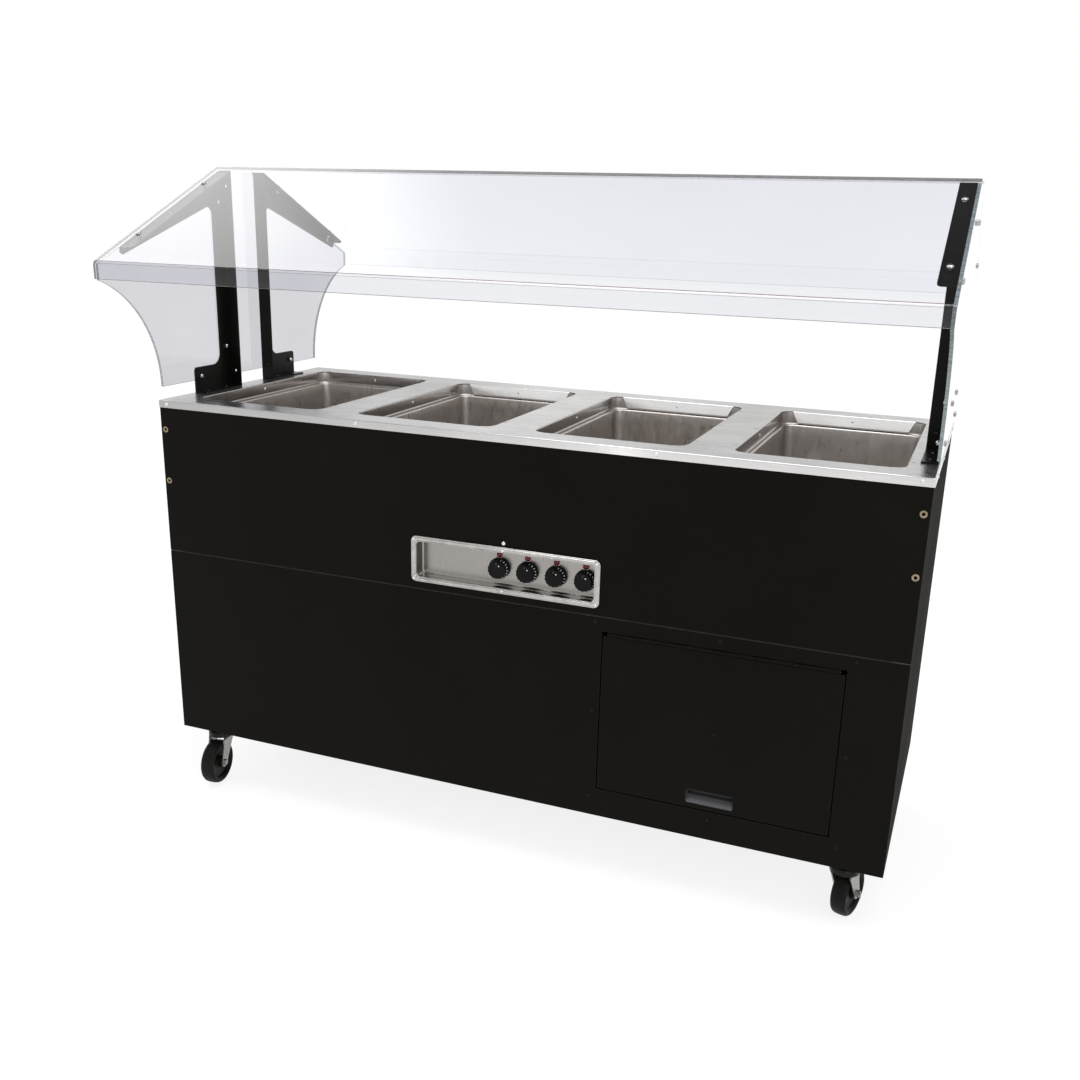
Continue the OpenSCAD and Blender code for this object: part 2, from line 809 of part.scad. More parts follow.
// Sheet between the storage space and the heated wells
module ceiling_panel() {
    z = seam_z + seam / 2 + panel_t;
    notch = post_w + gap;
    color(zinc) difference() {
        span([-in_x + gap, -in_y + gap, z], [in_x - gap, in_y - gap, z + rail_t]);
        for (sx = [-1, 1], sy = [-1, 1]) translate([sx * in_x, sy * in_y, z])
            cube([2 * notch, 2 * notch, 4 * rail_t], center = true);
    }
}

// Angle on the rear panel that carries the ceiling's rear edge
module ceiling_rail() {
    z = seam_z + seam / 2 + panel_t;
    half = turn_x;
    color(zinc) difference() {
        span([-half, in_y - rail_w, z - rail_h], [half, in_y, z]);
        span([-half - cut, in_y - rail_w - cut, z - rail_h - cut],
            [half + cut, in_y - rail_t, z - rail_t]);
        rear_screw_places() cylinder(h = drill, r = m4_r + hole_fit, center = true);
    }
}

module threaded_inserts() {
    color(brass) insert_places() difference() {
        union() {
            cylinder(h = insert_flange_t, r = insert_flange_r);
            translate([0, 0, -insert_len]) cylinder(h = insert_len + insert_flange_t / 2, r = insert_r);
        }
        translate([0, 0, -insert_len - cut])
            cylinder(h = insert_len + insert_flange_t + 2 * cut, r = m6_r);
    }
}

module terminal_block() {
    z = seam_z + seam / 2 + panel_t + rail_t;
    rib = (block_w - block_ways * block_way_w) / (block_ways + 1);
    color(ceramic) translate([gland_x - block_w / 2, in_y - 2 * block_d, z]) difference() {
        cube([block_w, block_d, block_h]);
        for (k = [0 : block_ways - 1])
            translate([rib + k * (block_way_w + rib), -cut, block_h * 0.4])
                cube([block_way_w, block_d + 2 * cut, block_h]);
    }
}

// Strain relief for the supply cord in the rear panel
module cord_gland() {
    nut_h = 8;
    cap_h = 10;
    tail = 14;
    lock_h = 5;
    color(plastic) translate([gland_x, body_y, gland_z]) rotate([-90, 0, 0]) difference() {
        union() {
            cylinder(h = nut_h, r = gland_r + 4, $fn = 6);
            translate([0, 0, nut_h]) cylinder(h = cap_h, r1 = gland_r + 1, r2 = gland_r - 2);
            translate([0, 0, -tail]) cylinder(h = tail + nut_h / 2, r = gland_r);
            translate([0, 0, -panel_t - lock_h]) cylinder(h = lock_h, r = gland_r + 4, $fn = 6);
        }
        translate([0, 0, -tail - cut]) cylinder(h = tail + nut_h + cap_h + 2 * cut, r = gland_bore_r);
    }
}

// ---- Controls ----

module control_places() {
    for (k = [0 : wells - 1])
        translate([knob_x0 + k * knob_pitch, dish_floor_y, knob_z]) face_front() children();
}

module lamp_places() {
    for (k = [0 : wells - 1])
        translate([knob_x0 + k * knob_pitch, dish_floor_y, lens_z]) face_front() children();
}

// Recessed tray with a flange on the panel's face
module control_dish() {
    color(steel) difference() {
        translate([dish_x, 0, control_z]) difference() {
            union() {
                translate([0, -body_y, 0]) face_front()
                    slab(dish_w + 2 * dish_turn, dish_h + 2 * dish_turn, dish_t, dish_r + dish_turn);
                translate([0, dish_floor_y + dish_t, 0]) face_front()
                    slab(dish_w + 2 * dish_t, dish_h + 2 * dish_t, dish_depth + dish_t, dish_r + dish_t);
            }
            translate([0, dish_floor_y, 0]) face_front() slab(dish_w, dish_h, dish_depth + 5, dish_r);
        }
        control_places() cylinder(h = 10, r = bushing_r + hole_fit, center = true);
        lamp_places() cylinder(h = 10, r = lens_d / 2 - 1, center = true);
        bezel_screw_places() cylinder(h = drill, r = m3_r + hole_fit, center = true);
    }
}

// Raised frame with a rounded outer edge
module control_bezel() {
    outer_w = dish_w + 2 * bezel_w;
    outer_h = dish_h + 2 * bezel_w;
    crown = [[0, 0], [0.45, 0.6], [0.8, 2.1], [1, 4.8]];
    color(steel) difference() {
        translate([dish_x, -body_y - dish_t, control_z]) face_front() difference() {
            hull() for (c = crown) slab(outer_w - c[1], outer_h - c[1], max(bezel_t * c[0], sliver),
                bezel_w - c[1] / 2, $fn = 32);
            translate([0, 0, -cut]) slab(dish_w, dish_h, bezel_t + 2 * cut, dish_r, $fn = 32);
        }
        bezel_screw_places() cylinder(h = drill, r = m3_r + hole_fit, center = true);
    }
}

// Screw in the panel above the bezel that holds the housing behind it
module housing_screw_place() {
    translate([dish_x, -body_y, control_z + dish_h / 2 + bezel_w + 7]) face_front() children();
}

// Sheet box behind the tray that encloses the switches and wiring
module control_housing() {
    z0 = control_z - housing_h / 2;
    x0 = dish_x - housing_w / 2;
    color(zinc) difference() {
        span([x0, -in_y, z0], [x0 + housing_w, -in_y + housing_d, z0 + housing_h]);
        span([x0 + housing_t, -in_y + housing_t, z0 + housing_t],
            [x0 + housing_w - housing_t, -in_y + housing_d - housing_t, z0 + housing_h - housing_t]);
        translate([dish_x, -in_y + housing_t + cut, control_z]) face_front()
            slab(dish_w + 2 * dish_t + 2 * gap, dish_h + 2 * dish_t + 2 * gap,
                housing_t + 2 * cut, dish_r + dish_t + gap);
        bezel_screw_places() cylinder(h = long_drill, r = m3_r + hole_fit, center = true);
        housing_screw_place() cylinder(h = long_drill, r = m4_r + hole_fit, center = true);
        translate([dish_x, -in_y + housing_d, control_z]) face_front()
            cylinder(h = drill, r = gland_r, center = true);
    }
}

// Switch behind the tray: a body, a bushing through the tray, its nut and two tabs
module switch_bodies() {
    color(ceramic) control_places() difference() {
        union() {
            translate([-switch_w / 2, -switch_w / 2 - 2, -dish_t - switch_len])
                cube([switch_w, switch_w, switch_len]);
            translate([0, 0, -dish_t - cut]) cylinder(h = dish_t + cut + bushing_h, r = bushing_r);
            cylinder(h = bushing_nut_h, r = bushing_nut_r, $fn = 6);
            for (s = [-1, 1]) translate([s * switch_w / 4, 0, -dish_t - switch_len])
                cube([tab_t, tab_w, 2 * tab_len], center = true);
        }
        translate([0, 0, -dish_t - shaft_in - hole_fit]) cylinder(h = deep_drill, r = shaft_d / 2 + run_fit);
    }
}

// Knob on the switch's shaft: a sloped skirt for the numbers and a fluted grip in front
module knob(i) {
    r = knob_d / 2;
    base = knob_lift;
    grip_r = r - knob_skirt;
    grip_z = base + (knob_h - base) / 2;
    translate([knob_x0 + i * knob_pitch, dish_floor_y, knob_z]) face_front() {
        color(plastic) difference() {
            rotate_extrude() polygon([[0, base], [r - 1, base], [r, base + 1], [r, base + 2.4],
                [r - 0.5, base + 3], [grip_r, grip_z], [grip_r, knob_h - 1.2], [grip_r - 0.4, knob_h - 0.4],
                [grip_r - 1.2, knob_h], [0, knob_h]]);
            for (k = [0 : flutes - 1]) rotate([0, 0, (k + 0.5) * 360 / flutes])
                translate([0, grip_r + flute_r - flute_depth, grip_z]) cylinder(h = knob_h, r = flute_r);
            translate([0, 0, base - cut]) cylinder(h = knob_bore + cut, r = shaft_d / 2 + run_fit);
            translate([-knob_mark / 2, grip_r - 5, knob_h - 0.8]) cube([knob_mark, 6, 2]);
        }
        color(zinc) translate([0, 0, -dish_t - shaft_in])
            cylinder(h = base + knob_bore + dish_t + shaft_in - gap, r = shaft_d / 2);
    }
}

module knob_1() { knob(0); }
module knob_2() { knob(1); }
module knob_3() { knob(2); }
module knob_4() { knob(3); }

// Bodies of the pilot lamps behind the tray, and the pale rings around the lenses
module pilot_lamps() {
    r = lens_d / 2;
    color(pale) lamp_places() difference() {
        union() {
            translate([0, 0, -dish_t - lamp_len]) cylinder(h = lamp_len + dish_t + cut, r = r - 1 - hole_fit);
            cylinder(h = lamp_ring_h, r = r + 1);
        }
        translate([0, 0, -lamp_seat]) cylinder(h = drill, r = r - 2);
    }
}

module lamp_lenses() {
    r = lens_d / 2;
    color(red) lamp_places() rotate_extrude()
        polygon([[0, -lamp_seat], [r - 2 - hole_fit, -lamp_seat], [r - 2 - hole_fit, lamp_ring_h],
            [r, lamp_ring_h], [r, 2.2], [r - 1, 3.4], [r - 3, 4.4], [0, 4.8]]);
}

// ---- Storage door ----

// Z-shaped frame behind the panel on three sides of the opening; its lip stops the door
module door_frame() {
    x0 = door_x - door_w / 2;
    x1 = door_x + door_w / 2;
    step = frame_step;
    w = panel_t;
    lip_y = stop_y + w;
    top = open_z1 - hinge_gap - 1;
    color(black) difference() {
        union() {
            span([x0 - frame_edge, -in_y, open_z0 - frame_edge], [x1 + frame_edge, -in_y + w, top]);
            span([x0 - step - w, -in_y, open_z0 - step - w], [x1 + step + w, lip_y, top]);
        }
        span([x0 - step, -in_y - cut, open_z0 - step], [x1 + step, stop_y, top + cut]);
        span([x0 + frame_lip, -in_y - cut, open_z0 + frame_lip], [x1 - frame_lip, lip_y + cut, top + cut]);
        door_screw_places() cylinder(h = drill, r = m4_r + hole_fit, center = true);
    }
}

module door_panel() {
    x0 = door_x - door_w / 2 + door_gap;
    x1 = door_x + door_w / 2 - door_gap;
    color(black) difference() {
        span([x0, -body_y, door_z0], [x1, -body_y + door_t, door_z1]);
        span([x0 + panel_t, -in_y, door_z0 + panel_t], [x1 - panel_t, -body_y + door_t + cut, door_z1 + cut]);
        translate([door_x, -in_y + cut, pull_z0 + pull_h / 2]) face_front()
            slab(pull_w, pull_h, panel_t + 2 * cut, 5);
        translate([door_x, -body_y, (door_z0 + door_z1) / 2]) face_front()
            cylinder(h = drill, r = m4_r + hole_fit, center = true);
    }
}

// Screw in the middle of the door, with its nut behind the sheet
module door_screw() {
    color(zinc) translate([door_x, -body_y, (door_z0 + door_z1) / 2]) face_front() {
        pan_screw(m4_r, m4_len, m4_head_r, m4_head_h);
        translate([0, 0, -panel_t - m4_nut_h]) difference() {
            cylinder(h = m4_nut_h, r = m4_nut_r, $fn = 6);
            translate([0, 0, -cut]) cylinder(h = m4_nut_h + 2 * cut, r = m4_r);
        }
    }
}

// Finger pull: a cup behind the door with a ramp below and a grip space above
module door_pull_cup() {
    y0 = -in_y;
    y1 = -body_y + pull_depth;
    z0 = pull_z0;
    z1 = pull_z0 + pull_h + pull_grip;
    ramp_y = y0 + pull_depth / 2;
    ramp_z = z0 + pull_ramp;
    cavity = [[y0 - cut, z0 + 0.5], [y0, z0 + 0.5], [ramp_y, ramp_z], [y1, ramp_z], [y1, z1],
        [y0 - cut, z1]];
    shell = [[y0, z0 - pull_edge], [y0 + pull_t, z0 - pull_edge], [y0 + pull_t, z0],
        [ramp_y + pull_t, ramp_z - pull_t], [y1 + pull_t, ramp_z - pull_t],
        [y1 + pull_t, z1 + pull_t], [y0 + pull_t, z1 + pull_t],
        [y0 + pull_t, z1 + 2 * pull_edge], [y0, z1 + 2 * pull_edge]];
    color(black) difference() {
        along_x(door_x - pull_w / 2 - pull_t, pull_w + 2 * pull_t) polygon(shell);
        along_x(door_x - pull_w / 2, pull_w) polygon(cavity);
    }
}

// Knuckles of one leaf: every second one along the hinge
module knuckle_row(first) {
    for (k = [first : 2 : knuckles - 1])
        translate([door_x - hinge_len / 2 + k * knuckle_len + knuckle_gap / 2, hinge_y, hinge_z])
            rotate([0, 90, 0]) children();
}

// Leaf built upwards from the pin; the door's leaf is the same shape turned down
module hinge_leaf(first, up) {
    tab = knuckle_len - knuckle_gap;
    color(black) difference() {
        union() {
            translate([0, -in_y, hinge_z]) scale([1, 1, up])
                span([door_x - hinge_len / 2, 0, leaf_clear], [door_x + hinge_len / 2, leaf_t, leaf_h]);
            for (k = [first : 2 : knuckles - 1])
                translate([door_x - hinge_len / 2 + k * knuckle_len + knuckle_gap / 2, -in_y, hinge_z])
                    scale([1, 1, up]) cube([tab, leaf_t, leaf_clear + 0.5]);
            knuckle_row(first) cylinder(h = tab, r = knuckle_r);
        }
        knuckle_row(first) translate([0, 0, -cut]) cylinder(h = tab + 2 * cut, r = pin_r + run_fit);
        door_screw_places() cylinder(h = drill, r = m4_r + hole_fit, center = true);
    }
}

module hinge_fixed_leaf() {
    hinge_leaf(0, 1);
}

module hinge_door_leaf() {
    hinge_leaf(1, -1);
}

module hinge_pin() {
    color(zinc) translate([door_x - hinge_len / 2, hinge_y, hinge_z])
        rotate([0, 90, 0]) cylinder(h = hinge_len, r = pin_r);
}

// ---- Food guard ----

// Sloped panel with a bend at the crease and a short upright lip
module slope_glass() {
    c = [crease_c_y, crease_c_z];
    n = [slope_sin, slope_cos];
    ridge = [ridge_y, ridge_z];
    outer = arc(c, crease_r, 90 - guard_slope, 0, bend_steps);
    inner = arc(c, crease_r - glass_t, 0, 90 - guard_slope, bend_steps);
    lip = [[crease_y, top_height + lip_z], [crease_y - glass_t, top_height + lip_z]];
    color(clear) difference() {
        along_x(-glass_len / 2, glass_len)
            polygon(concat([ridge], outer, lip, inner, [ridge - glass_t * n]));
        slope_bolt_places() cylinder(h = deep_drill, r = m6_r + hole_fit, center = true);
    }
}

module rear_glass() {
    slope_glass();
}

module front_glass() {
    mirror([0, 1, 0]) slope_glass();
}

// Bolts through the rear panel and the arms, square to the slope
module slope_bolt_places() {
    for (y = slope_bolt_y, s = [-1, 1])
        translate([s * (web_x - flange_w / 2), y, slope_z(y)]) rotate([-guard_slope, 0, 0]) children();
}

// Bolts through an end panel and the brackets, seen at the right end
module end_bolt_places() {
    arm_bolt_z = slope_z(arm_bolt_y, arm_drop + bracket_t) - arm_tip / 2 + 1;
    spots = [
        [ridge_y + post_bolt_in, top_height + post_bolt_z[0]],
        [ridge_y + post_bolt_in, top_height + post_bolt_z[1]],
        [foot_bolt[0], top_height + foot_bolt[1]],
        [arm_bolt_y, arm_bolt_z]
    ];
    for (p = spots, s = [-1, 1]) translate([end_glass_x + glass_t, s * p[0], p[1]])
        rotate([0, 90, 0]) children();
}

// End panel: sloped edges under the front and rear panels, curved cut-outs for access
module end_glass() {
    edge_y = crease_y - glass_t - glass_gap;
    drop = glass_t + glass_gap;
    bottom = top_height + end_glass_z;
    lip = top_height + lip_z;
    half = [[end_glass_y, bottom], [end_glass_y, arc_z], [arc_y, arc_z], [edge_y, lip],
        [edge_y, slope_z(edge_y, drop)], [ridge_y, slope_z(ridge_y, drop)]];
    color(clear) difference() {
        along_x(end_glass_x, glass_t) difference() {
            polygon(concat(half, [for (k = [len(half) - 1 : -1 : 0]) [-half[k][0], half[k][1]]]));
            for (s = [-1, 1]) {
                translate([s * arc_y, arc_z]) circle(r = arc_r, $fn = 96);
                translate([s * (edge_y + arc_r), lip - arc_r]) square(2 * arc_r, center = true);
            }
        }
        end_bolt_places() cylinder(h = deep_drill, r = m6_r + hole_fit, center = true);
    }
}

module right_end_glass() {
    end_glass();
}

module left_end_glass() {
    mirror([1, 0, 0]) end_glass();
}

// Outline of the bracket's web: post, foot and tapering arm with filleted corners
module bracket_outline() {
    post_y = ridge_y + post_width;
    foot_y = ridge_y + foot_len;
    base = top_height;
    root_z = slope_z(post_y, arm_drop) - arm_root;
    tip_z = slope_z(arm_y, arm_drop) - arm_tip;
    fall = (root_z - tip_z) / (arm_y - post_y);
    a = atan(fall);
    c = [post_y + arm_r, root_z - fall * arm_r - arm_r / cos(a)];
    difference() {
        union() {
            translate([ridge_y, base]) square([post_width, slope_z(post_y, arm_drop) - base]);
            translate([ridge_y, base]) square([foot_len, foot_h]);
            polygon([[ridge_y, slope_z(ridge_y, arm_drop)], [arm_y, slope_z(arm_y, arm_drop)],
                [arm_y, tip_z + tip_cut], [arm_y - tip_cut, tip_z + tip_cut * fall],
                [post_y, root_z], [ridge_y, root_z]]);
            translate([post_y, base + foot_h]) difference() {
                square(foot_r);
                translate([foot_r, foot_r]) circle(r = foot_r);
            }
            difference() {
                polygon([[post_y, c[1]], [post_y, root_z], c + arm_r * [sin(a), cos(a)], c]);
                translate(c) circle(r = arm_r);
            }
        }
        translate([foot_y - corner_r, base + foot_h - corner_r]) difference() {
            square(corner_r + cut);
            circle(r = corner_r);
        }
    }
}

// Rear bracket at the right end, bent from one sheet: a web against the end panel and
// inward flanges along the arm, down the post's inner edge and along the foot
module bracket() {
    arm_len = (arm_y - ridge_y) / slope_cos;
    union() {
        along_x(web_x - bracket_t, bracket_t) bracket_outline();
        span([web_x - flange_w, ridge_y, top_height],
            [web_x, ridge_y + bracket_t, slope_z(ridge_y, arm_drop + bracket_t)]);
        span([web_x - flange_w, ridge_y, top_height], [web_x, ridge_y + foot_len, top_height + bracket_t]);
        translate([web_x, ridge_y, slope_z(ridge_y, arm_drop)]) rotate([-guard_slope, 0, 0])
            mirror([1, 0, 0]) translate([0, 0, -bracket_t]) linear_extrude(bracket_t) union() {
                square([flange_w, arm_len - corner_r]);
                square([flange_w - corner_r, arm_len]);
                translate([flange_w - corner_r, arm_len - corner_r]) circle(r = corner_r);
            }
    }
}

// Both brackets of the right end, front and rear, with their holes
module bracket_pair() {
    color(black) difference() {
        for (s = [0, 1]) mirror([0, s, 0]) difference() {
            bracket();
            slope_bolt_places() cylinder(h = deep_drill, r = m6_r + hole_fit, center = true);
            for (z = post_hole_z) translate([web_x - (flange_w + bracket_t) / 2, ridge_y, top_height + z])
                face_front() cylinder(h = drill, r = m6_r, center = true);
        }
        end_bolt_places() cylinder(h = deep_drill, r = m6_r + hole_fit, center = true);
        bracket_screw_places() cylinder(h = long_drill, r = m4_r + hole_fit, center = true);
    }
}

module right_brackets() {
    bracket_pair();
}

module left_brackets() {
    mirror([1, 0, 0]) bracket_pair();
}

module guard_bolts() {
    end_grip = glass_t + gap + bracket_t;
    slope_grip = glass_t + gap + bracket_t;
    color(zinc) {
        for (m = [0, 1]) mirror([m, 0, 0]) end_bolt_places() guard_bolt(end_grip);
        for (m = [0, 1]) mirror([0, m, 0]) slope_bolt_places() guard_bolt(slope_grip);
    }
}

// Screws through the feet into the counter
module bracket_screw_places() {
    for (sx = [-1, 1], sy = [-1, 1], k = [0.3, 0.8])
        translate([sx * (web_x - bracket_t - foot_screw_in), sy * (ridge_y + k * foot_len), 0])
            translate([0, 0, top_height + bracket_t]) children();
}

module bracket_screws() {
    color(zinc) bracket_screw_places() pan_screw(m4_r, m4_long, m4_head_r, m4_head_h);
}

// Screws of the rim, the door's frame and hinge, the bezel and the rear panel
module panel_screws() {
    color(zinc) {
        rim_screw_places() pan_screw(m4_r, m4_len, m4_head_r, m4_head_h);
        door_screw_places() pan_screw(m4_r, m4_len, m4_head_r, m4_head_h);
        rear_screw_places() pan_screw(m4_r, m4_len, m4_head_r, m4_head_h);
        housing_screw_place() pan_screw(m4_r, m4_len, m4_head_r, m4_head_h);
        translate([0, -bezel_t, 0]) bezel_screw_places() pan_screw(m3_r, m3_long, m3_head_r, m3_head_h);
    }
}

// ---- Casters ----

module caster_place(i) {
    translate([caster_sides[i][0] * caster_x, caster_sides[i][1] * caster_y, 0]) children();
}

module caster_bolt_places() {
    for (i = [0 : 3]) caster_place(i) for (x = [-1, 1], y = [-1, 1])
        translate([x * plate_bolt_x / 2, y * plate_bolt_y / 2, caster_h]) children();
}

// Top plates with their upper races and kingpins
module caster_plates() {
    color(zinc) difference() {
        for (i = [0 : 3]) caster_place(i) {
            translate([0, 0, caster_h - plate_t]) slab(plate_w, plate_d, plate_t, plate_r);
            translate([0, 0, fork_top + gap]) cylinder(h = caster_h - plate_t - fork_top, r = race_r - 1);
            translate([0, 0, fork_crown - kingpin_head])
                cylinder(h = caster_h - fork_crown + kingpin_head, r = kingpin_r);
            translate([0, 0, fork_crown - kingpin_head]) cylinder(h = kingpin_head - gap, r = kingpin_r + 3);
        }
        caster_bolt_places() cylinder(h = long_drill, r = m6_r + hole_fit, center = true);
    }
}

module caster_bolts() {
    color(zinc) caster_bolt_places() {
        translate([0, 0, -plate_t - m6_nut_h]) cylinder(h = m6_nut_h, r = m6_head_r, $fn = 6);
        translate([0, 0, -plate_t - 1]) cylinder(h = plate_t + base_t + rail_t + 2 * m6_nut_h, r = m6_r);
        translate([0, 0, base_t + rail_t]) cylinder(h = m6_nut_h + 1, r = m6_head_r, $fn = 6);
    }
}

// Side view of a fork leg: wide at the crown, narrow at the axle
module leg_outline() {
    hull() {
        translate([-race_r + leg_in / 3, fork_crown]) square([2 * (race_r - leg_in / 3), 2]);
        translate([caster_trail, wheel_r]) circle(r = leg_end_r);
    }
}

// Swivel fork with its lower race, two legs and the axle bolt
module caster_fork(i) {
    axle_out = leg_in + leg_t + run_fit;
    caster_place(i) rotate([0, 0, caster_heading[i]]) color(zinc) {
        difference() {
            union() {
                rotate_extrude() polygon([[0, fork_crown], [race_r + 2, fork_crown],
                    [race_r + 2, fork_top - 6], [race_r, fork_top - 2], [race_r - 3, fork_top],
                    [0, fork_top]]);
                for (s = [-1, 1]) translate([0, s * (leg_in + leg_t / 2) + leg_t / 2, 0]) rotate([90, 0, 0])
                    linear_extrude(leg_t) leg_outline();
            }
            translate([0, 0, fork_crown - cut]) cylinder(h = long_drill, r = kingpin_r + run_fit);
            translate([caster_trail, 0, wheel_r]) rotate([90, 0, 0])
                cylinder(h = 2 * deep_drill, r = axle_r + hole_fit, center = true);
        }
        translate([caster_trail, axle_out, wheel_r]) rotate([90, 0, 0]) {
            cylinder(h = 2 * axle_out + axle_nut_h + 2, r = axle_r);
            translate([0, 0, -axle_head_h]) cylinder(h = axle_head_h, r = axle_head_r, $fn = 6);
            translate([0, 0, 2 * axle_out]) cylinder(h = axle_nut_h, r = axle_head_r, $fn = 6);
        }
    }
}

module caster_fork_1() { caster_fork(0); }
module caster_fork_2() { caster_fork(1); }
module caster_fork_3() { caster_fork(2); }
module caster_fork_4() { caster_fork(3); }

// Rubber-tyred wheel: rounded tread, thin web and a wide hub
module caster_wheel(i) {
    w = wheel_w / 2;
    web = w - tread_r;
    hub = leg_in - hub_gap;
    bore = axle_r + run_fit;
    tread = wheel_r - tread_r;
    band = wheel_r - rim_band;
    caster_place(i) rotate([0, 0, caster_heading[i]]) translate([caster_trail, 0, wheel_r])
        color(rubber) rotate([90, 0, 0]) rotate_extrude()
            polygon(concat([[bore, -hub], [hub_r, -hub], [hub_r + 1, -web], [band, -web], [band + 2, -w]],
                arc([tread, -web], tread_r, -90, 0, 5), arc([tread, web], tread_r, 0, 90, 5),
                [[band + 2, w], [band, web], [hub_r + 1, web], [hub_r, hub], [bore, hub]]));
}

module caster_wheel_1() { caster_wheel(0); }
module caster_wheel_2() { caster_wheel(1); }
module caster_wheel_3() { caster_wheel(2); }
module caster_wheel_4() { caster_wheel(3); }

countertop();
well_pan_1();
well_pan_2();
well_pan_3();
well_pan_4();
heating_elements();
element_clamps();
well_jackets();
well_screws();
front_upper_panel();
front_lower_panel();
left_panel();
right_panel();
rear_panel();
base_panel();
caster_channels();
corner_posts();
top_rails();
cross_rails();
ceiling_panel();
ceiling_rail();
control_dish();
control_bezel();
control_housing();
switch_bodies();
knob_1();
knob_2();
knob_3();
knob_4();
pilot_lamps();
lamp_lenses();
terminal_block();
cord_gland();
door_frame();
door_panel();
door_screw();
door_pull_cup();
hinge_fixed_leaf();
hinge_door_leaf();
hinge_pin();
front_glass();
rear_glass();
left_end_glass();
right_end_glass();
left_brackets();
right_brackets();
guard_bolts();
bracket_screws();
panel_screws();
threaded_inserts();
caster_plates();
caster_bolts();
caster_fork_1();
caster_fork_2();
caster_fork_3();
caster_fork_4();
caster_wheel_1();
caster_wheel_2();
caster_wheel_3();
caster_wheel_4();
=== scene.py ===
import math

import bmesh
import bpy
from mathutils import Matrix, Vector
from mathutils.geometry import tessellate_polygon


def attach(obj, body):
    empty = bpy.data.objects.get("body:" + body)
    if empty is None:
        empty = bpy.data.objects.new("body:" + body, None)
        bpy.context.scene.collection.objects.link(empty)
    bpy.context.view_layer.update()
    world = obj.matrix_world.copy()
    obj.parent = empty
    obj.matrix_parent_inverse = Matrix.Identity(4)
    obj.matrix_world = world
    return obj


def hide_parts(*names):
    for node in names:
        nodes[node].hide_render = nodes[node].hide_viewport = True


# The looks of the steam table: finer meshes for some CAD nodes, procedural materials for all,
# the photo's camera and a pale studio. Metres and the CAD frame; pieces are built in millimetres.
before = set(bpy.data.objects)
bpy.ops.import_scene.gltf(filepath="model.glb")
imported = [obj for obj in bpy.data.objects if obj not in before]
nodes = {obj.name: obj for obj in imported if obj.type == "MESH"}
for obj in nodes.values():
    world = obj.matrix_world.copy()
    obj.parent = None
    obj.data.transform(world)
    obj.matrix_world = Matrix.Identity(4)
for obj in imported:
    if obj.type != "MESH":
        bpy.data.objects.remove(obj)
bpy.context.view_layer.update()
scene = bpy.context.scene
MM = 0.001

# Sizes repeated from the CAD source, in millimetres
TOP_H, TOP_T, RIM_DROP = 893.0, 1.5, 16.0
TOP_L, TOP_D = 1586.0, 622.0
WELLS = 4
WELL_W, WELL_D, WELL_R, WELL_PITCH = 303.0, 503.0, 22.0, 392.0
GAP = 0.3
UNDER = TOP_H - TOP_T
TURN, TURN_CUT, TURN_BEND, LEDGE_GAP = 22.0, 12.0, 2.2, 4.5
LEDGE_Z = UNDER - TURN - LEDGE_GAP
PAN_DEPTH, PAN_FLANGE, PAN_T = 140.0, 10.0, 1.0
FLOOR_Z = LEDGE_Z - PAN_DEPTH
COLLAR = TOP_T + GAP
SLIT_L, SLIT_OUT, SLIT_ROWS = 8.0, 7.0, (-0.38, 0.0, 0.38)
BODY_Y = 309.2
DISH_W, DISH_H, DISH_X, DISH_R, BEZEL_W = 380.0, 73.0, 13.0, 8.0, 12.0
DISH_DEPTH, DISH_FLANGE, DISH_T, DISH_FLOOR_R = 24.0, 8.0, 1.0, 4.0
CONTROL_Z, TRAY_Y = 623.0, -285.2
KNOB_X0, KNOB_PITCH, KNOB_Z = -4.5, 60.5, 620.0
RIDGE_Y, RIDGE_Z, CREASE_Y, CREASE_R = 62.0, 1372.0, 464.0, 10.0
SLOPE, LIP_Z = 25.3, 256.0
GLASS_T, POST_IN = 6.0, 4.0
GLASS_X = TOP_L / 2 - POST_IN + GAP + GLASS_T
END_GAP, END_BOTTOM, END_WAIST, END_R = 1.0, 26.0, 295.0, 235.0
CASTER_X, CASTER_Y, TRAIL, WHEEL_R = 718.2, 268.2, 28.0, 50.0
CASTERS = (("front_left", -1, -1, -83), ("front_right", 1, -1, 74),
           ("rear_left", -1, 1, 100), ("rear_right", 1, 1, -88))

# Only here: the slits are wider than in the CAD, and the rear edges of wells 2 to 4 lean
SLIT_W, FLAP_LEAN = 2.0, 7.0

# Heights where a colour changes, in metres
SEAM_Z, PAINTED_BELOW, REAR_PAINTED_BELOW, REAR_Y, FORK_DARK_ABOVE = 0.559, 0.56, 0.865, 0.30, 0.101

# ---------------------------------------------------------------- camera
# Fitted to the photo: place in metres, turns in degrees, the rest in the photo's pixels
CAMERA_AT = (0.858374, -2.26429, 1.2986)
CAMERA_TURNS = (20.966, -17.463, 1.594)
FOCAL, CENTRE_X, CENTRE_Y, IMAGE = 1137.216, 548.943, 568.988, 1080.0
SENSOR = 36.0


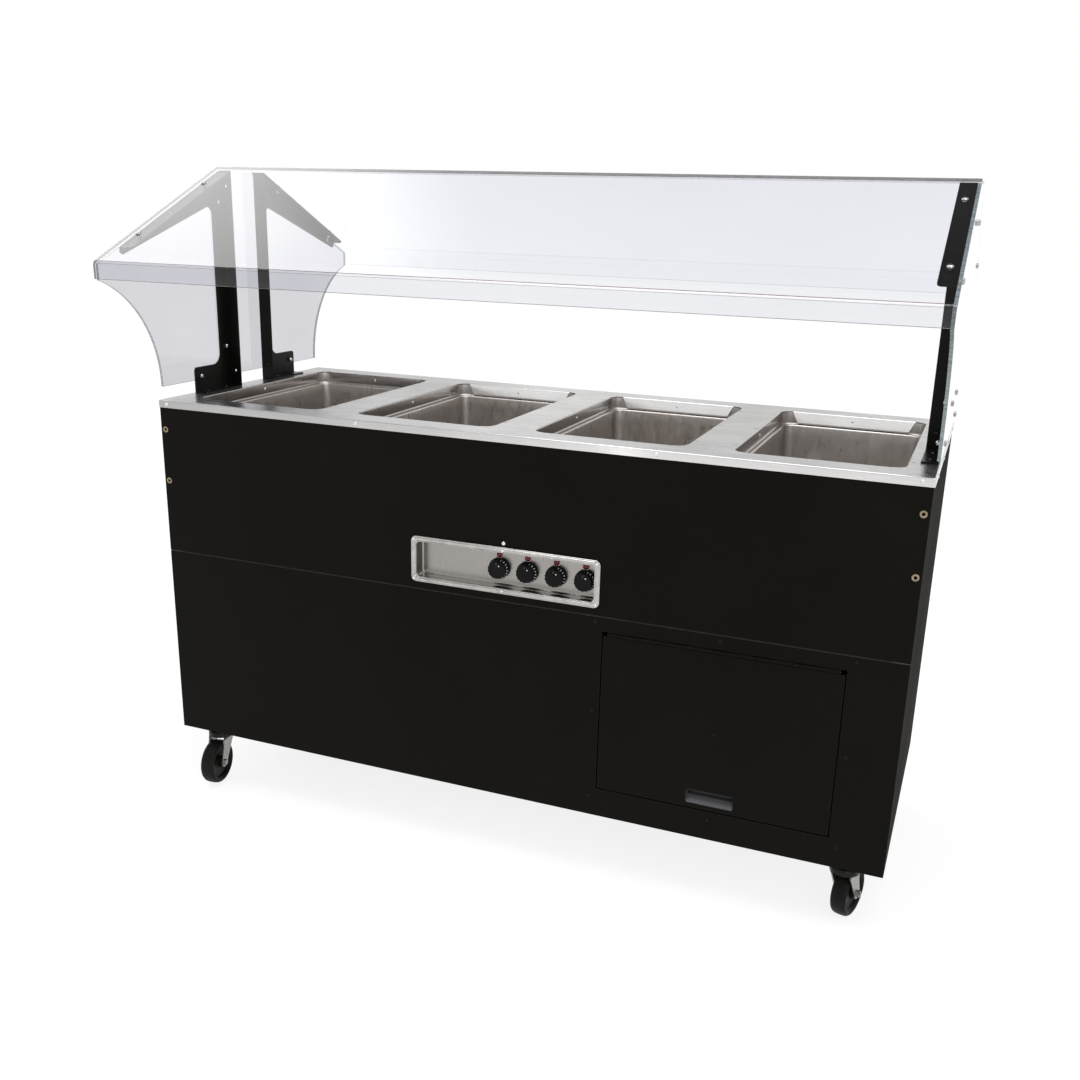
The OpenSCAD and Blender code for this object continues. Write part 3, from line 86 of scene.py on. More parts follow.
def place_camera():
    yaw, pitch, roll = (math.radians(a) for a in CAMERA_TURNS)
    ahead = Vector((-math.sin(yaw) * math.cos(pitch), math.cos(yaw) * math.cos(pitch), math.sin(pitch)))
    right = Vector((math.cos(yaw), math.sin(yaw), 0.0))
    up = right.cross(ahead)
    rolled_right = math.cos(roll) * right + math.sin(roll) * up
    rolled_up = -math.sin(roll) * right + math.cos(roll) * up
    cam = bpy.data.objects.new("camera", bpy.data.cameras.new("camera"))
    scene.collection.objects.link(cam)
    m = Matrix((rolled_right, rolled_up, -ahead)).transposed().to_4x4()
    m.translation = Vector(CAMERA_AT)
    cam.matrix_world = m
    cam.data.sensor_fit = "HORIZONTAL"
    cam.data.sensor_width = SENSOR
    cam.data.lens = SENSOR * FOCAL / IMAGE
    cam.data.shift_x = (IMAGE / 2 - CENTRE_X) / IMAGE
    cam.data.shift_y = (CENTRE_Y - IMAGE / 2) / IMAGE
    cam.data.clip_start = 0.05
    cam.data.clip_end = 60.0
    scene.camera = cam


place_camera()


# ---------------------------------------------------------------- materials
# Where most of a noise's values lie, and the same for the coat's and the steel's clouding
MID, MID_COAT, MID_STEEL = (0.3, 0.7), (0.35, 0.72), (0.30, 0.72)
BEVEL_SAMPLES = 4
# Agreement of the rounded normal with the flat one, from a fully lightened edge (wear, and a painted
# highlight along the seam) to none
LIGHT_EDGE_FROM, LIGHT_EDGE_TO = 0.70, 0.995
SEAM_NEAR, SEAM_FAR, OFF_SEAM_SHARE = 0.002, 0.004, 0.22
DUST = (0.10, 0.10, 0.095)
DARK_TOP_COLOUR = (0.020, 0.020, 0.019)
SCREW_PAINT = (0.006, 0.0058, 0.005)
# Half of the length over which the painted reflection zones brighten and darken the steel, in metres
TONE_REACH = 0.8


class Mat:
    """Small helper around one node material with a Principled shader."""

    def __init__(self, name, **sockets):
        self.mat = bpy.data.materials.new(name)
        self.mat.use_nodes = True
        self.nt = self.mat.node_tree
        self.bsdf = self.nt.nodes["Principled BSDF"]
        self.out = self.nt.nodes["Material Output"]
        for k, v in sockets.items():
            self.bsdf.inputs[k.replace("_", " ")].default_value = v
        self.coord = self.nt.nodes.new("ShaderNodeTexCoord")

    def node(self, kind, **props):
        n = self.nt.nodes.new(kind)
        for k, v in props.items():
            setattr(n, k, v)
        return n

    def link(self, a, b):
        self.nt.links.new(a, b)

    def mapped(self, scale=(1, 1, 1)):
        n = self.node("ShaderNodeMapping")
        n.inputs["Scale"].default_value = scale
        self.link(self.coord.outputs["Object"], n.inputs["Vector"])
        return n.outputs["Vector"]

    def noise(self, scale, stretch=(1, 1, 1), detail=3.0, rough=0.55):
        n = self.node("ShaderNodeTexNoise")
        n.inputs["Scale"].default_value = scale
        n.inputs["Detail"].default_value = detail
        n.inputs["Roughness"].default_value = rough
        self.link(self.mapped(stretch), n.inputs["Vector"])
        return n.outputs["Fac"]

    def ramp(self, fac, stops):
        n = self.node("ShaderNodeValToRGB")
        el = n.color_ramp.elements
        while len(el) < len(stops):
            el.new(0.5)
        for e, (pos, col) in zip(el, stops):
            e.position = pos
            e.color = (*col, 1.0) if isinstance(col, tuple) else (col, col, col, 1.0)
        self.link(fac, n.inputs["Fac"])
        return n.outputs["Color"]

    def shades(self, fac, low, high, between=MID):
        return self.ramp(fac, [(between[0], low), (between[1], high)])

    def span(self, fac, a, b, low=MID[0], high=MID[1]):
        """Runs from a to b while fac runs from low to high."""
        n = self.node("ShaderNodeMapRange")
        n.inputs["From Min"].default_value = low
        n.inputs["From Max"].default_value = high
        n.inputs["To Min"].default_value = a
        n.inputs["To Max"].default_value = b
        self.link(fac, n.inputs["Value"])
        return n.outputs["Result"]

    def math(self, op, a, b):
        n = self.node("ShaderNodeMath", operation=op)
        for s, v in zip(n.inputs, (a, b)):
            if isinstance(v, (int, float)):
                s.default_value = v
            else:
                self.link(v, s)
        return n.outputs["Value"]

    def mix(self, fac, a, b, blend="MIX"):
        n = self.node("ShaderNodeMix", data_type="RGBA", blend_type=blend)
        if isinstance(fac, (int, float)):
            n.inputs[0].default_value = fac
        else:
            self.link(fac, n.inputs[0])
        for i, v in ((6, a), (7, b)):
            if isinstance(v, tuple):
                n.inputs[i].default_value = (*v, 1.0)
            else:
                self.link(v, n.inputs[i])
        return n.outputs[2]

    def rounded(self, radius):
        """The normal with the edges rounded by a radius in metres."""
        n = self.node("ShaderNodeBevel", samples=BEVEL_SAMPLES)
        n.inputs["Radius"].default_value = radius
        return n.outputs["Normal"]

    def bump(self, height, strength, distance, edge):
        n = self.node("ShaderNodeBump")
        n.inputs["Strength"].default_value = strength
        n.inputs["Distance"].default_value = distance
        self.link(height, n.inputs["Height"])
        self.link(self.rounded(edge), n.inputs["Normal"])
        self.link(n.outputs["Normal"], self.bsdf.inputs["Normal"])

    def axis(self, name):
        n = self.node("ShaderNodeSeparateXYZ")
        self.link(self.coord.outputs["Object"], n.inputs["Vector"])
        return n.outputs[name]

    def edge_wear_and_seam_highlight(self, radius, seam):
        """Lighter colour by nearness to a sharp edge: wear, much stronger at the height of a seam, where it
        is a painted highlight.
        """
        geo = self.node("ShaderNodeNewGeometry")
        dot = self.node("ShaderNodeVectorMath", operation="DOT_PRODUCT")
        self.link(self.rounded(radius), dot.inputs[0])
        self.link(geo.outputs["True Normal"], dot.inputs[1])
        wear_and_highlight = self.span(dot.outputs["Value"], 1.0, 0.0, LIGHT_EDGE_FROM, LIGHT_EDGE_TO)
        off = self.math("ABSOLUTE", self.math("SUBTRACT", self.axis("Z"), seam), 0.0)
        return self.math("MULTIPLY", wear_and_highlight, self.span(off, 1.0, OFF_SEAM_SHARE, SEAM_NEAR, SEAM_FAR))

    def to(self, out, socket):
        self.link(out, self.bsdf.inputs[socket])


def powder_coat(name, low, high, rough=(0.36, 0.46), spec=0.13, edge=0.0006, wear_and_highlight=None):
    """Black satin powder coat: faint orange peel, dust, rubbed patches, and slightly worn edges with a
    painted highlight along the seam.
    """
    m = Mat(name, Specular_IOR_Level=spec)
    cloud = m.noise(2.3, detail=5.0, rough=0.6)
    dust = m.noise(900.0, detail=1.0)
    colour = m.shades(cloud, low, high, MID_COAT)
    colour = m.mix(m.span(dust, 0.0, 0.12, 0.68, 0.78), colour, DUST)
    # lighter edges: wear, and a painted highlight along the front seam
    if wear_and_highlight:
        colour = m.mix(m.edge_wear_and_seam_highlight(0.0014, SEAM_Z), colour, wear_and_highlight)
    m.to(colour, "Base Color")
    rubbed = m.noise(7.0, stretch=(1, 1, 2.5), detail=6.0, rough=0.65)
    m.to(m.span(rubbed, *rough), "Roughness")
    peel = m.noise(520.0, detail=2.0)
    m.bump(peel, 0.18, 0.00022, edge)
    return m.mat


def brushed(name, low, high, grain=(3, 160, 160), rough=(0.20, 0.34), tint=None, blotch=0.35,
            painted_reflection_zones=None, relief=0.14):
    """Brushed sheet steel: streaks along one axis, faint smears and, where painted reflection zones are
    given, a painted reflection that drifts along X.
    """
    m = Mat(name, Metallic=1.0)
    scale = 9.0
    streak = m.noise(scale, stretch=grain, detail=4.0, rough=0.7)
    fine = m.noise(scale * 4, stretch=grain, detail=2.0)
    cloud = m.noise(4.5, detail=5.0, rough=0.6)
    mixed = m.math("ADD", m.math("MULTIPLY", streak, 0.65), m.math("MULTIPLY", cloud, blotch))
    colour = m.shades(mixed, low, high, MID_STEEL)
    if tint:
        heat = m.noise(6.0, stretch=(1, 1, 1.6), detail=3.0)
        colour = m.mix(m.span(heat, 0.0, 0.6, 0.42, 0.72), colour, tint)
    # painted reflection: the steel's brightness set by its place along X
    if painted_reflection_zones:
        along = m.span(m.axis("X"), 0.0, 1.0, -TONE_REACH, TONE_REACH)
        drift = m.math("ADD", along, m.span(m.noise(2.6, detail=4.0), -0.06, 0.06))
        painted_reflection_tone = m.ramp(drift, [((x + TONE_REACH) / (2 * TONE_REACH), t) for x, t in painted_reflection_zones])
        colour = m.mix(1.0, colour, painted_reflection_tone, "MULTIPLY")
    m.to(colour, "Base Color")
    smear = m.noise(13.0, stretch=(1, 2.2, 1), detail=6.0, rough=0.7)
    m.to(m.math("ADD", m.span(streak, *rough), m.span(smear, -0.04, 0.07, 0.35, 0.75)), "Roughness")
    m.bump(m.math("ADD", streak, m.math("MULTIPLY", fine, 0.6)), relief, 0.0002, 0.0006)
    return m.mat


def zinc_grain(m, rough):
    """The crystalline clouding of plated steel: adds its relief, returns the clouding and the gloss."""
    cloud = m.noise(160.0, detail=4.0, rough=0.7)
    m.bump(cloud, 0.1, 0.00008, 0.0004)
    return cloud, m.span(m.noise(90.0, detail=3.0), *rough)


def plated(name, low=(0.42, 0.43, 0.44), high=(0.72, 0.73, 0.74), rough=(0.18, 0.34), dark_above=None):
    """Zinc-plated hardware, much darker above a height where one is given."""
    m = Mat(name, Metallic=1.0)
    cloud, gloss = zinc_grain(m, rough)
    colour = m.shades(cloud, low, high)
    if dark_above:
        dark = m.span(m.axis("Z"), 0.0, 1.0, dark_above, dark_above + 0.004)
        colour = m.mix(dark, colour, DARK_TOP_COLOUR)
    m.to(colour, "Base Color")
    m.to(gloss, "Roughness")
    return m.mat


def painted_screws(name):
    """Panel screws: bright where they are plain, painted over below the seam and on the rear panel."""
    m = Mat(name, Specular_IOR_Level=0.10)
    cloud, gloss = zinc_grain(m, (0.10, 0.22))
    bare = m.shades(cloud, (0.60, 0.60, 0.60), (0.86, 0.86, 0.85))
    low = m.math("LESS_THAN", m.axis("Z"), PAINTED_BELOW)
    rear = m.math("MULTIPLY", m.math("GREATER_THAN", m.axis("Y"), REAR_Y),
                  m.math("LESS_THAN", m.axis("Z"), REAR_PAINTED_BELOW))
    painted = m.math("MAXIMUM", low, rear)
    m.to(m.mix(painted, bare, SCREW_PAINT), "Base Color")
    m.to(m.math("SUBTRACT", 1.0, painted), "Metallic")
    m.to(m.math("ADD", gloss, m.math("MULTIPLY", painted, 0.2)), "Roughness")
    return m.mat


def plastic(name, low, high, rough=(0.2, 0.3), scale=120.0, bump=0.05, spec=0.5, **sockets):
    """Moulded plastic: fine grain and slightly uneven gloss."""
    m = Mat(name, Specular_IOR_Level=spec, **sockets)
    m.to(m.shades(m.noise(scale * 0.2, detail=4.0), low, high), "Base Color")
    m.to(m.span(m.noise(scale * 0.5, detail=5.0, rough=0.7), *rough), "Roughness")
    m.bump(m.noise(scale * 8, detail=1.0), bump, 0.0001, 0.0004)
    return m.mat


def clear_sheet(name, tint_low, tint_high):
    """Clear acrylic: tinted see-through with a surface reflection and faint haze smears."""
    ior, rough, gain = 1.45, 0.03, 1.25
    m = Mat(name)
    see = m.node("ShaderNodeBsdfTransparent")
    m.link(m.shades(m.noise(3.0, detail=4.0), tint_low, tint_high), see.inputs["Color"])
    gloss = m.node("ShaderNodeBsdfGlossy")
    gloss.inputs["Color"].default_value = (1, 1, 1, 1)
    m.link(m.span(m.noise(9.0, detail=5.0), rough * 0.5, rough * 2.0), gloss.inputs["Roughness"])
    fresnel = m.node("ShaderNodeFresnel")
    fresnel.inputs["IOR"].default_value = ior
    geo = m.node("ShaderNodeNewGeometry")
    facing = m.math("SUBTRACT", 1.0, geo.outputs["Backfacing"])
    shine = m.math("MINIMUM", m.math("MULTIPLY", fresnel.outputs["Fac"], gain), 1.0)
    mix = m.node("ShaderNodeMixShader")
    m.link(m.math("MULTIPLY", shine, facing), mix.inputs[0])
    m.link(see.outputs["BSDF"], mix.inputs[1])
    m.link(gloss.outputs["BSDF"], mix.inputs[2])
    m.link(mix.outputs["Shader"], m.out.inputs["Surface"])
    m.nt.nodes.remove(m.bsdf)
    return m.mat


def sheet_edge(name, low, high, clear):
    """The sawn and flame-polished edge of a clear sheet: greyish, lets some light through."""
    m = Mat(name)
    cut = m.noise(220.0, stretch=(0.2, 1, 1), detail=3.0)
    m.to(m.shades(cut, low, high), "Base Color")
    m.to(m.span(cut, 0.15, 0.4), "Roughness")
    see = m.node("ShaderNodeBsdfTransparent")
    mix = m.node("ShaderNodeMixShader")
    mix.inputs[0].default_value = clear
    m.link(m.bsdf.outputs["BSDF"], mix.inputs[1])
    m.link(see.outputs["BSDF"], mix.inputs[2])
    m.link(mix.outputs["Shader"], m.out.inputs["Surface"])
    return m.mat


# its light edge colour is wear, and a painted highlight along the front seam
BLACK = powder_coat("black_powder_coat", (0.0030, 0.0025, 0.0014), (0.0046, 0.0040, 0.0027),
                    spec=0.06, edge=0.0012, wear_and_highlight=(0.13, 0.127, 0.118))
# lighter copy of the black coat with little gloss: the side panels' grazing sheen is painted into the colour
SIDE_PAINTED_SHEEN = powder_coat("side_powder_coat_painted_sheen", (0.012, 0.0110, 0.0085), (0.020, 0.0188, 0.0160),
                   rough=(0.75, 0.9), spec=0.02, edge=0.0012)
BRACKET = powder_coat("bracket_powder_coat", (0.0028, 0.0026, 0.0022), (0.0060, 0.0056, 0.0050),
                      rough=(0.24, 0.34), spec=0.10)
# the zones paint the counter's reflections brighter and darker along its length
STEEL = brushed("counter_steel", (0.42, 0.415, 0.41), (0.68, 0.67, 0.66), grain=(2, 90, 90), blotch=0.6,
                painted_reflection_zones=[(-0.8, 0.70), (-0.35, 0.68), (-0.1, 0.98), (0.12, 1.0), (0.36, 0.76),
                       (0.8, 0.86)])
# lighter copy of the counter steel for the front rim, a painted highlight; its zone of 1.25 near x 0.28 m is
# a painted hot spot
RIM_PAINTED_HIGHLIGHT = brushed("counter_rim_steel_painted_highlight", (0.62, 0.61, 0.605), (0.84, 0.83, 0.825), grain=(2, 90, 90),
              rough=(0.12, 0.24),
              painted_reflection_zones=[(-0.8, 0.62), (-0.4, 0.70), (0.0, 0.90), (0.22, 1.0), (0.28, 1.25),
                     (0.34, 1.0), (0.8, 0.92)])
# darker copy of the counter steel for the edges turned down into the wells: painted shade
EDGE_STEEL_PAINTED_SHADE = brushed("turned_edge_steel_painted_shade", (0.34, 0.32, 0.305), (0.56, 0.54, 0.525), grain=(2, 60, 90),
                     rough=(0.12, 0.24))
# much lighter copy of the counter steel for the leaning rear edges of wells 2 to 4: painted highlight
FLAP_PAINTED_HIGHLIGHT = brushed("rear_edge_steel_painted_highlight", (0.70, 0.69, 0.685), (0.92, 0.915, 0.91), grain=(2, 60, 90),
               rough=(0.08, 0.16))
SLIT = powder_coat("slit_shadow", (0.010, 0.010, 0.010), (0.020, 0.020, 0.019), rough=(0.8, 0.9), spec=0.02)
PAN = brushed("well_pan_steel", (0.46, 0.432, 0.411), (0.60, 0.572, 0.55), grain=(14, 14, 4),
              rough=(0.26, 0.40), tint=(0.46, 0.413, 0.371), blotch=0.4, relief=0.02)
DISH = brushed("control_tray_steel", (0.27, 0.258, 0.242), (0.40, 0.383, 0.362), grain=(120, 120, 3))
# lighter copy of the tray steel for the lower wall: painted reflection
DISH_LOW_PAINTED_REFLECTION = brushed("control_tray_lower_wall_painted_reflection", (0.74, 0.735, 0.72), (0.94, 0.935, 0.93),
                   grain=(3, 90, 90), rough=(0.08, 0.16))
# darker copy of the tray steel for the end walls: painted dark reflection
DISH_END_PAINTED_DARK_REFLECTION = brushed("control_tray_end_wall_painted_dark_reflection", (0.10, 0.105, 0.088), (0.22, 0.225, 0.195),
                   grain=(120, 120, 3), rough=(0.2, 0.3))
FRAME_STEEL = brushed("bezel_steel", (0.36, 0.352, 0.335), (0.62, 0.61, 0.585),
                      grain=(5, 5, 5), rough=(0.05, 0.12))
GALV = brushed("galvanised_sheet", (0.34, 0.35, 0.35), (0.55, 0.56, 0.56),
               grain=(18, 18, 18), rough=(0.32, 0.5))
ZINC = plated("zinc_hardware")
FORK = plated("caster_fork_plating", (0.20, 0.196, 0.185), (0.36, 0.355, 0.34), rough=(0.24, 0.38),
              dark_above=FORK_DARK_ABOVE)
SCREW = plated("bright_screws", (0.62, 0.62, 0.62), (0.86, 0.86, 0.85), rough=(0.10, 0.2))
PANEL_SCREWS = painted_screws("panel_screw_heads")
BRASS = plated("passivated_insert", (0.20, 0.155, 0.095), (0.42, 0.34, 0.24), rough=(0.25, 0.4))
BOLT = plated("guard_bolt_heads", (0.30, 0.295, 0.29), (0.56, 0.55, 0.54), rough=(0.14, 0.26))
DARK_SCREW = plated("blackened_screws", (0.020, 0.019, 0.018), (0.060, 0.058, 0.055), rough=(0.25, 0.4))
SHEATH = plated("element_sheath", (0.05, 0.045, 0.04), (0.17, 0.14, 0.12), rough=(0.4, 0.6))
KNOB = plastic("knob_black", (0.004, 0.004, 0.004), (0.009, 0.009, 0.009), rough=(0.12, 0.22),
               spec=0.07)
POINTER = plastic("knob_pointer", (0.05, 0.05, 0.05), (0.09, 0.09, 0.088), rough=(0.3, 0.4))
MARK = plastic("knob_marks", (0.72, 0.72, 0.70), (0.84, 0.84, 0.82), rough=(0.35, 0.5))
# much lighter than the black coat: the pull's lip lit from above is painted light
PULL_PAINTED_LIGHT = powder_coat("door_pull_coat_painted_light", (0.050, 0.049, 0.054), (0.085, 0.083, 0.092), rough=(0.3, 0.4),
                   spec=0.3)
GLAND = plastic("gland_nylon", (0.010, 0.010, 0.010), (0.018, 0.018, 0.018), rough=(0.4, 0.55))
BOARD = plastic("insulation_board", (0.50, 0.47, 0.40), (0.70, 0.67, 0.60), rough=(0.8, 0.95),
                bump=0.6)
CERAMIC = plastic("switch_moulding", (0.42, 0.41, 0.38), (0.56, 0.55, 0.52), rough=(0.45, 0.6))
RING = plastic("lamp_ring", (0.70, 0.67, 0.60), (0.84, 0.82, 0.76), rough=(0.25, 0.4))
LENS = plastic("red_lens", (0.085, 0.001, 0.003), (0.15, 0.002, 0.005), rough=(0.10, 0.18),
               scale=300.0, spec=0.25, Coat_Weight=0.15, Coat_Roughness=0.05)
TYRE = plastic("tyre_rubber", (0.004, 0.004, 0.0035), (0.010, 0.0095, 0.009), rough=(0.42, 0.62),
               bump=0.25, spec=0.10)
HUB = plastic("wheel_hub", (0.004, 0.004, 0.0035), (0.008, 0.0078, 0.007), rough=(0.3, 0.42), spec=0.08)
CLEAR = clear_sheet("clear_acrylic", (0.972, 0.976, 0.992), (0.982, 0.986, 0.998))
# darker tint on the hanging lip of the same front sheet: painted shade
CLEAR_LIP_PAINTED_SHADE = clear_sheet("clear_acrylic_lip_painted_shade", (0.900, 0.906, 0.925), (0.915, 0.922, 0.94))
CLEAR_END = clear_sheet("clear_acrylic_end", (0.795, 0.793, 0.812), (0.825, 0.823, 0.842))
# much darker tint on the first steps of the front bend: painted shade for the bend's refraction
CREASE_PAINTED_SHADE = clear_sheet("clear_acrylic_bend_painted_shade", (0.26, 0.18, 0.22), (0.40, 0.31, 0.35))
# faintly darker tint on the rear bend: painted shade
CREASE_REAR_PAINTED_SHADE = clear_sheet("clear_acrylic_rear_bend_painted_shade", (0.955, 0.957, 0.968), (0.968, 0.97, 0.98))
EDGE = sheet_edge("acrylic_edge", (0.07, 0.062, 0.068), (0.17, 0.155, 0.165), clear=0.2)
EDGE_REAR = sheet_edge("acrylic_edge_rear", (0.20, 0.19, 0.20), (0.34, 0.33, 0.34), clear=0.6)
EDGE_GREEN = sheet_edge("acrylic_edge_side", (0.17, 0.21, 0.215), (0.33, 0.38, 0.385), clear=0.15)

NODE_MATS = {
    "countertop": STEEL, "heating_elements": SHEATH, "element_clamps": ZINC, "well_jackets": BOARD,
    "well_screws": SCREW, "front_upper_panel": BLACK, "front_lower_panel": BLACK, "left_panel": SIDE_PAINTED_SHEEN,
    "right_panel": SIDE_PAINTED_SHEEN, "rear_panel": BLACK, "base_panel": BLACK, "caster_channels": GALV,
    "corner_posts": GALV, "top_rails": GALV, "cross_rails": GALV, "ceiling_panel": GALV,
    "ceiling_rail": GALV, "control_dish": DISH, "control_bezel": FRAME_STEEL, "control_housing": GALV,
    "switch_bodies": CERAMIC, "pilot_lamps": RING, "lamp_lenses": LENS, "terminal_block": CERAMIC,
    "cord_gland": GLAND, "door_frame": BLACK, "door_panel": BLACK, "door_screw": PANEL_SCREWS,
    "door_pull_cup": PULL_PAINTED_LIGHT, "hinge_fixed_leaf": BLACK, "hinge_door_leaf": BLACK, "hinge_pin": ZINC,
    "left_brackets": BRACKET, "right_brackets": BRACKET, "guard_bolts": BOLT, "bracket_screws": DARK_SCREW,
    "panel_screws": PANEL_SCREWS, "threaded_inserts": BRASS, "caster_plates": FORK, "caster_bolts": FORK,
    "front_glass": CLEAR, "rear_glass": CLEAR, "left_end_glass": CLEAR_END, "right_end_glass": CLEAR_END,
}
for k in range(1, WELLS + 1):
    NODE_MATS["well_pan_%d" % k] = PAN
    NODE_MATS["knob_%d" % k] = KNOB
    NODE_MATS["caster_fork_%d" % k] = FORK
    NODE_MATS["caster_wheel_%d" % k] = TYRE


for name, obj in nodes.items():
    obj.data.materials.clear()
    obj.data.materials.append(NODE_MATS[name])


# ---------------------------------------------------------------- mesh tools
def new_object(name, verts, faces, mats, face_mats=None, smooth=None, scale=MM):
    mesh = bpy.data.meshes.new(name)
    mesh.from_pydata([tuple(c * scale for c in v) for v in verts], [], faces)
    for m in mats:
        mesh.materials.append(m)
    if face_mats:
        mesh.polygons.foreach_set("material_index", face_mats)
    mesh.validate()
    obj = bpy.data.objects.new(name, mesh)
    scene.collection.objects.link(obj)
    bm = bmesh.new()
    bm.from_mesh(mesh)
    bmesh.ops.recalc_face_normals(bm, faces=bm.faces)
    bm.to_mesh(mesh)
    bm.free()
    if smooth is not None:
        shade(obj, smooth)
    return obj


def shade(obj, angle):
    """Smooth shading except across edges sharper than the angle."""
    mesh = obj.data
    mesh.polygons.foreach_set("use_smooth", [True] * len(mesh.polygons))
    mesh.set_sharp_from_angle(angle=math.radians(angle))


# Direction of each corner from the middle and the angle at which its arc begins
CORNERS = ((1, 1, 0), (-1, 1, 90), (-1, -1, 180), (1, -1, 270))


def arc(c, r, a0, a1, n):
    """n + 1 points of an arc around c, angles in degrees."""
    angles = [math.radians(a0 + (a1 - a0) * k / n) for k in range(n + 1)]
    return [(c[0] + r * math.cos(a), c[1] + r * math.sin(a)) for a in angles]


def quarter(n, first=0):
    """The angles of a quarter turn in n steps, in radians, from the step first on."""
    return [math.radians(90 * k / n) for k in range(first, n + 1)]


def round_rect(hw, hd, r, n=8):
    """Points around a rounded rectangle, counter-clockwise, n + 1 a corner."""
    r = max(r, 0.05)
    pts = []
    for sx, sy, a0 in CORNERS:
        for k in range(n + 1):
            a = math.radians(a0 + 90 * k / n)
            pts.append((sx * (hw - r) + r * math.cos(a), sy * (hd - r) + r * math.sin(a)))
    return pts


def loft(rings, close=True, cap_start=False, cap_end=False):
    """Faces over rings of equal length. close joins the last ring to the first."""
    n = len(rings[0])
    verts = [v for ring in rings for v in ring]
    faces = []
    last = len(rings) if close else len(rings) - 1
    for i in range(last):
        a, b = i * n, ((i + 1) % len(rings)) * n
        for k in range(n):
            q = (k + 1) % n
            faces.append((a + k, a + q, b + q, b + k))
    if cap_start:
        faces.append(tuple(range(n - 1, -1, -1)))
    if cap_end:
        s = (len(rings) - 1) * n
        faces.append(tuple(range(s, s + n)))
    return verts, faces


def merge(parts):
    """Joins (verts, faces[, material]) lists into one mesh description."""
    verts, faces, mats = [], [], []
    for part in parts:
        v, f = part[0], part[1]
        off = len(verts)
        verts += v
        faces += [tuple(i + off for i in face) for face in f]
        mats += [part[2] if len(part) > 2 else 0] * len(f)
    return verts, faces, mats


def moved(part, fn):
    """The same part with every point sent through a function."""
    return ([fn(v) for v in part[0]],) + tuple(part[1:])


def well_x(i):
    """Middle of a well along the counter."""
    return (i - (WELLS - 1) / 2) * WELL_PITCH


# ---------------------------------------------------------------- pieces
def lathe(profile, n, wobble=None):
    """Rings of (x, y, z) from (radius, height[, weight]) points; wobble lowers a radius by angle."""
    rings = []
    for p in profile:
        ring = []
        for k in range(n):
            a = 2 * math.pi * k / n
            r = p[0] - (wobble(a) * p[2] if wobble and len(p) > 2 else 0.0)
            ring.append((r * math.sin(a), r * math.cos(a), p[1]))
        rings.append(ring)
    return rings


def fill(loops, z):
    """Flat face at height z over an outer loop and its holes, as triangles."""
    loops3 = [[Vector((x, y, 0.0)) for x, y in loop] for loop in loops]
    verts = [(x, y, z) for loop in loops for x, y in loop]
    return verts, [tuple(t) for t in tessellate_polygon(loops3)]


def front(x, y, z):
    """Map from a piece built facing +Z to one facing the front at a place."""
    return lambda v: (x + v[0], y - v[2], z + v[1])


def place(obj, body, slot, *replaced):
    """Fixes a piece to its body and hides the CAD node that it stands for; slot is not used."""
    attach(obj, body)
    if replaced:
        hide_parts(*replaced)


def opening_loop(cx):
    """Counter opening: round corners at the cut edge, straight sides moved out by the bend."""
    hw, hd, r = WELL_W / 2, WELL_D / 2, WELL_R
    pts = []
    for sx, sy, a0 in CORNERS:
        c = (sx * (hw - r), sy * (hd - r))
        first, last = (arc(c, r + TURN_BEND, a, a, 1)[0] for a in (a0, a0 + 90))
        pts += [first] + arc(c, r, a0, a0 + 90, 8) + [last]
    return [(cx + x, y) for x, y in pts]


def turned_strip(half, where, lean):
    """One edge folded down into a well: x along the edge, y outwards, slanted ends, leaning inwards."""
    bend, inside, soft, start = TURN_BEND, TURN_BEND - TOP_T, 0.4, 1.0
    low = UNDER - TURN
    prof = [(where + bend - bend * math.sin(a), TOP_H - bend + bend * math.cos(a)) for a in quarter(6)]
    prof += [(where, low + soft), (where + soft, low), (where + TOP_T - soft, low),
             (where + TOP_T, low + soft)]
    prof += [(where + bend - inside * math.sin(a), UNDER - inside + inside * math.cos(a))
             for a in reversed(quarter(4))]
    tilt = math.tan(math.radians(lean))
    rings = []
    for side in (-1, 1):
        ring = []
        for y, z in prof:
            cut = TURN_CUT * max(0.0, (UNDER - start - z) / (TURN - start))
            ring.append((side * (half - cut), y - tilt * max(0.0, TOP_H - bend - z), z))
        rings.append(ring)
    return loft(rings, close=False, cap_start=True, cap_end=True)


def slit_loops(i):
    """The short slits along both long sides of a well."""
    loops = []
    for side in (-1, 1):
        for row in SLIT_ROWS:
            cx, cy = well_x(i) + side * (WELL_W / 2 + SLIT_OUT), row * WELL_D
            loops.append([(cx + sx * SLIT_L / 2, cy + sy * SLIT_W / 2)
                          for sx, sy in ((-1, -1), (1, -1), (1, 1), (-1, 1))])
    return loops


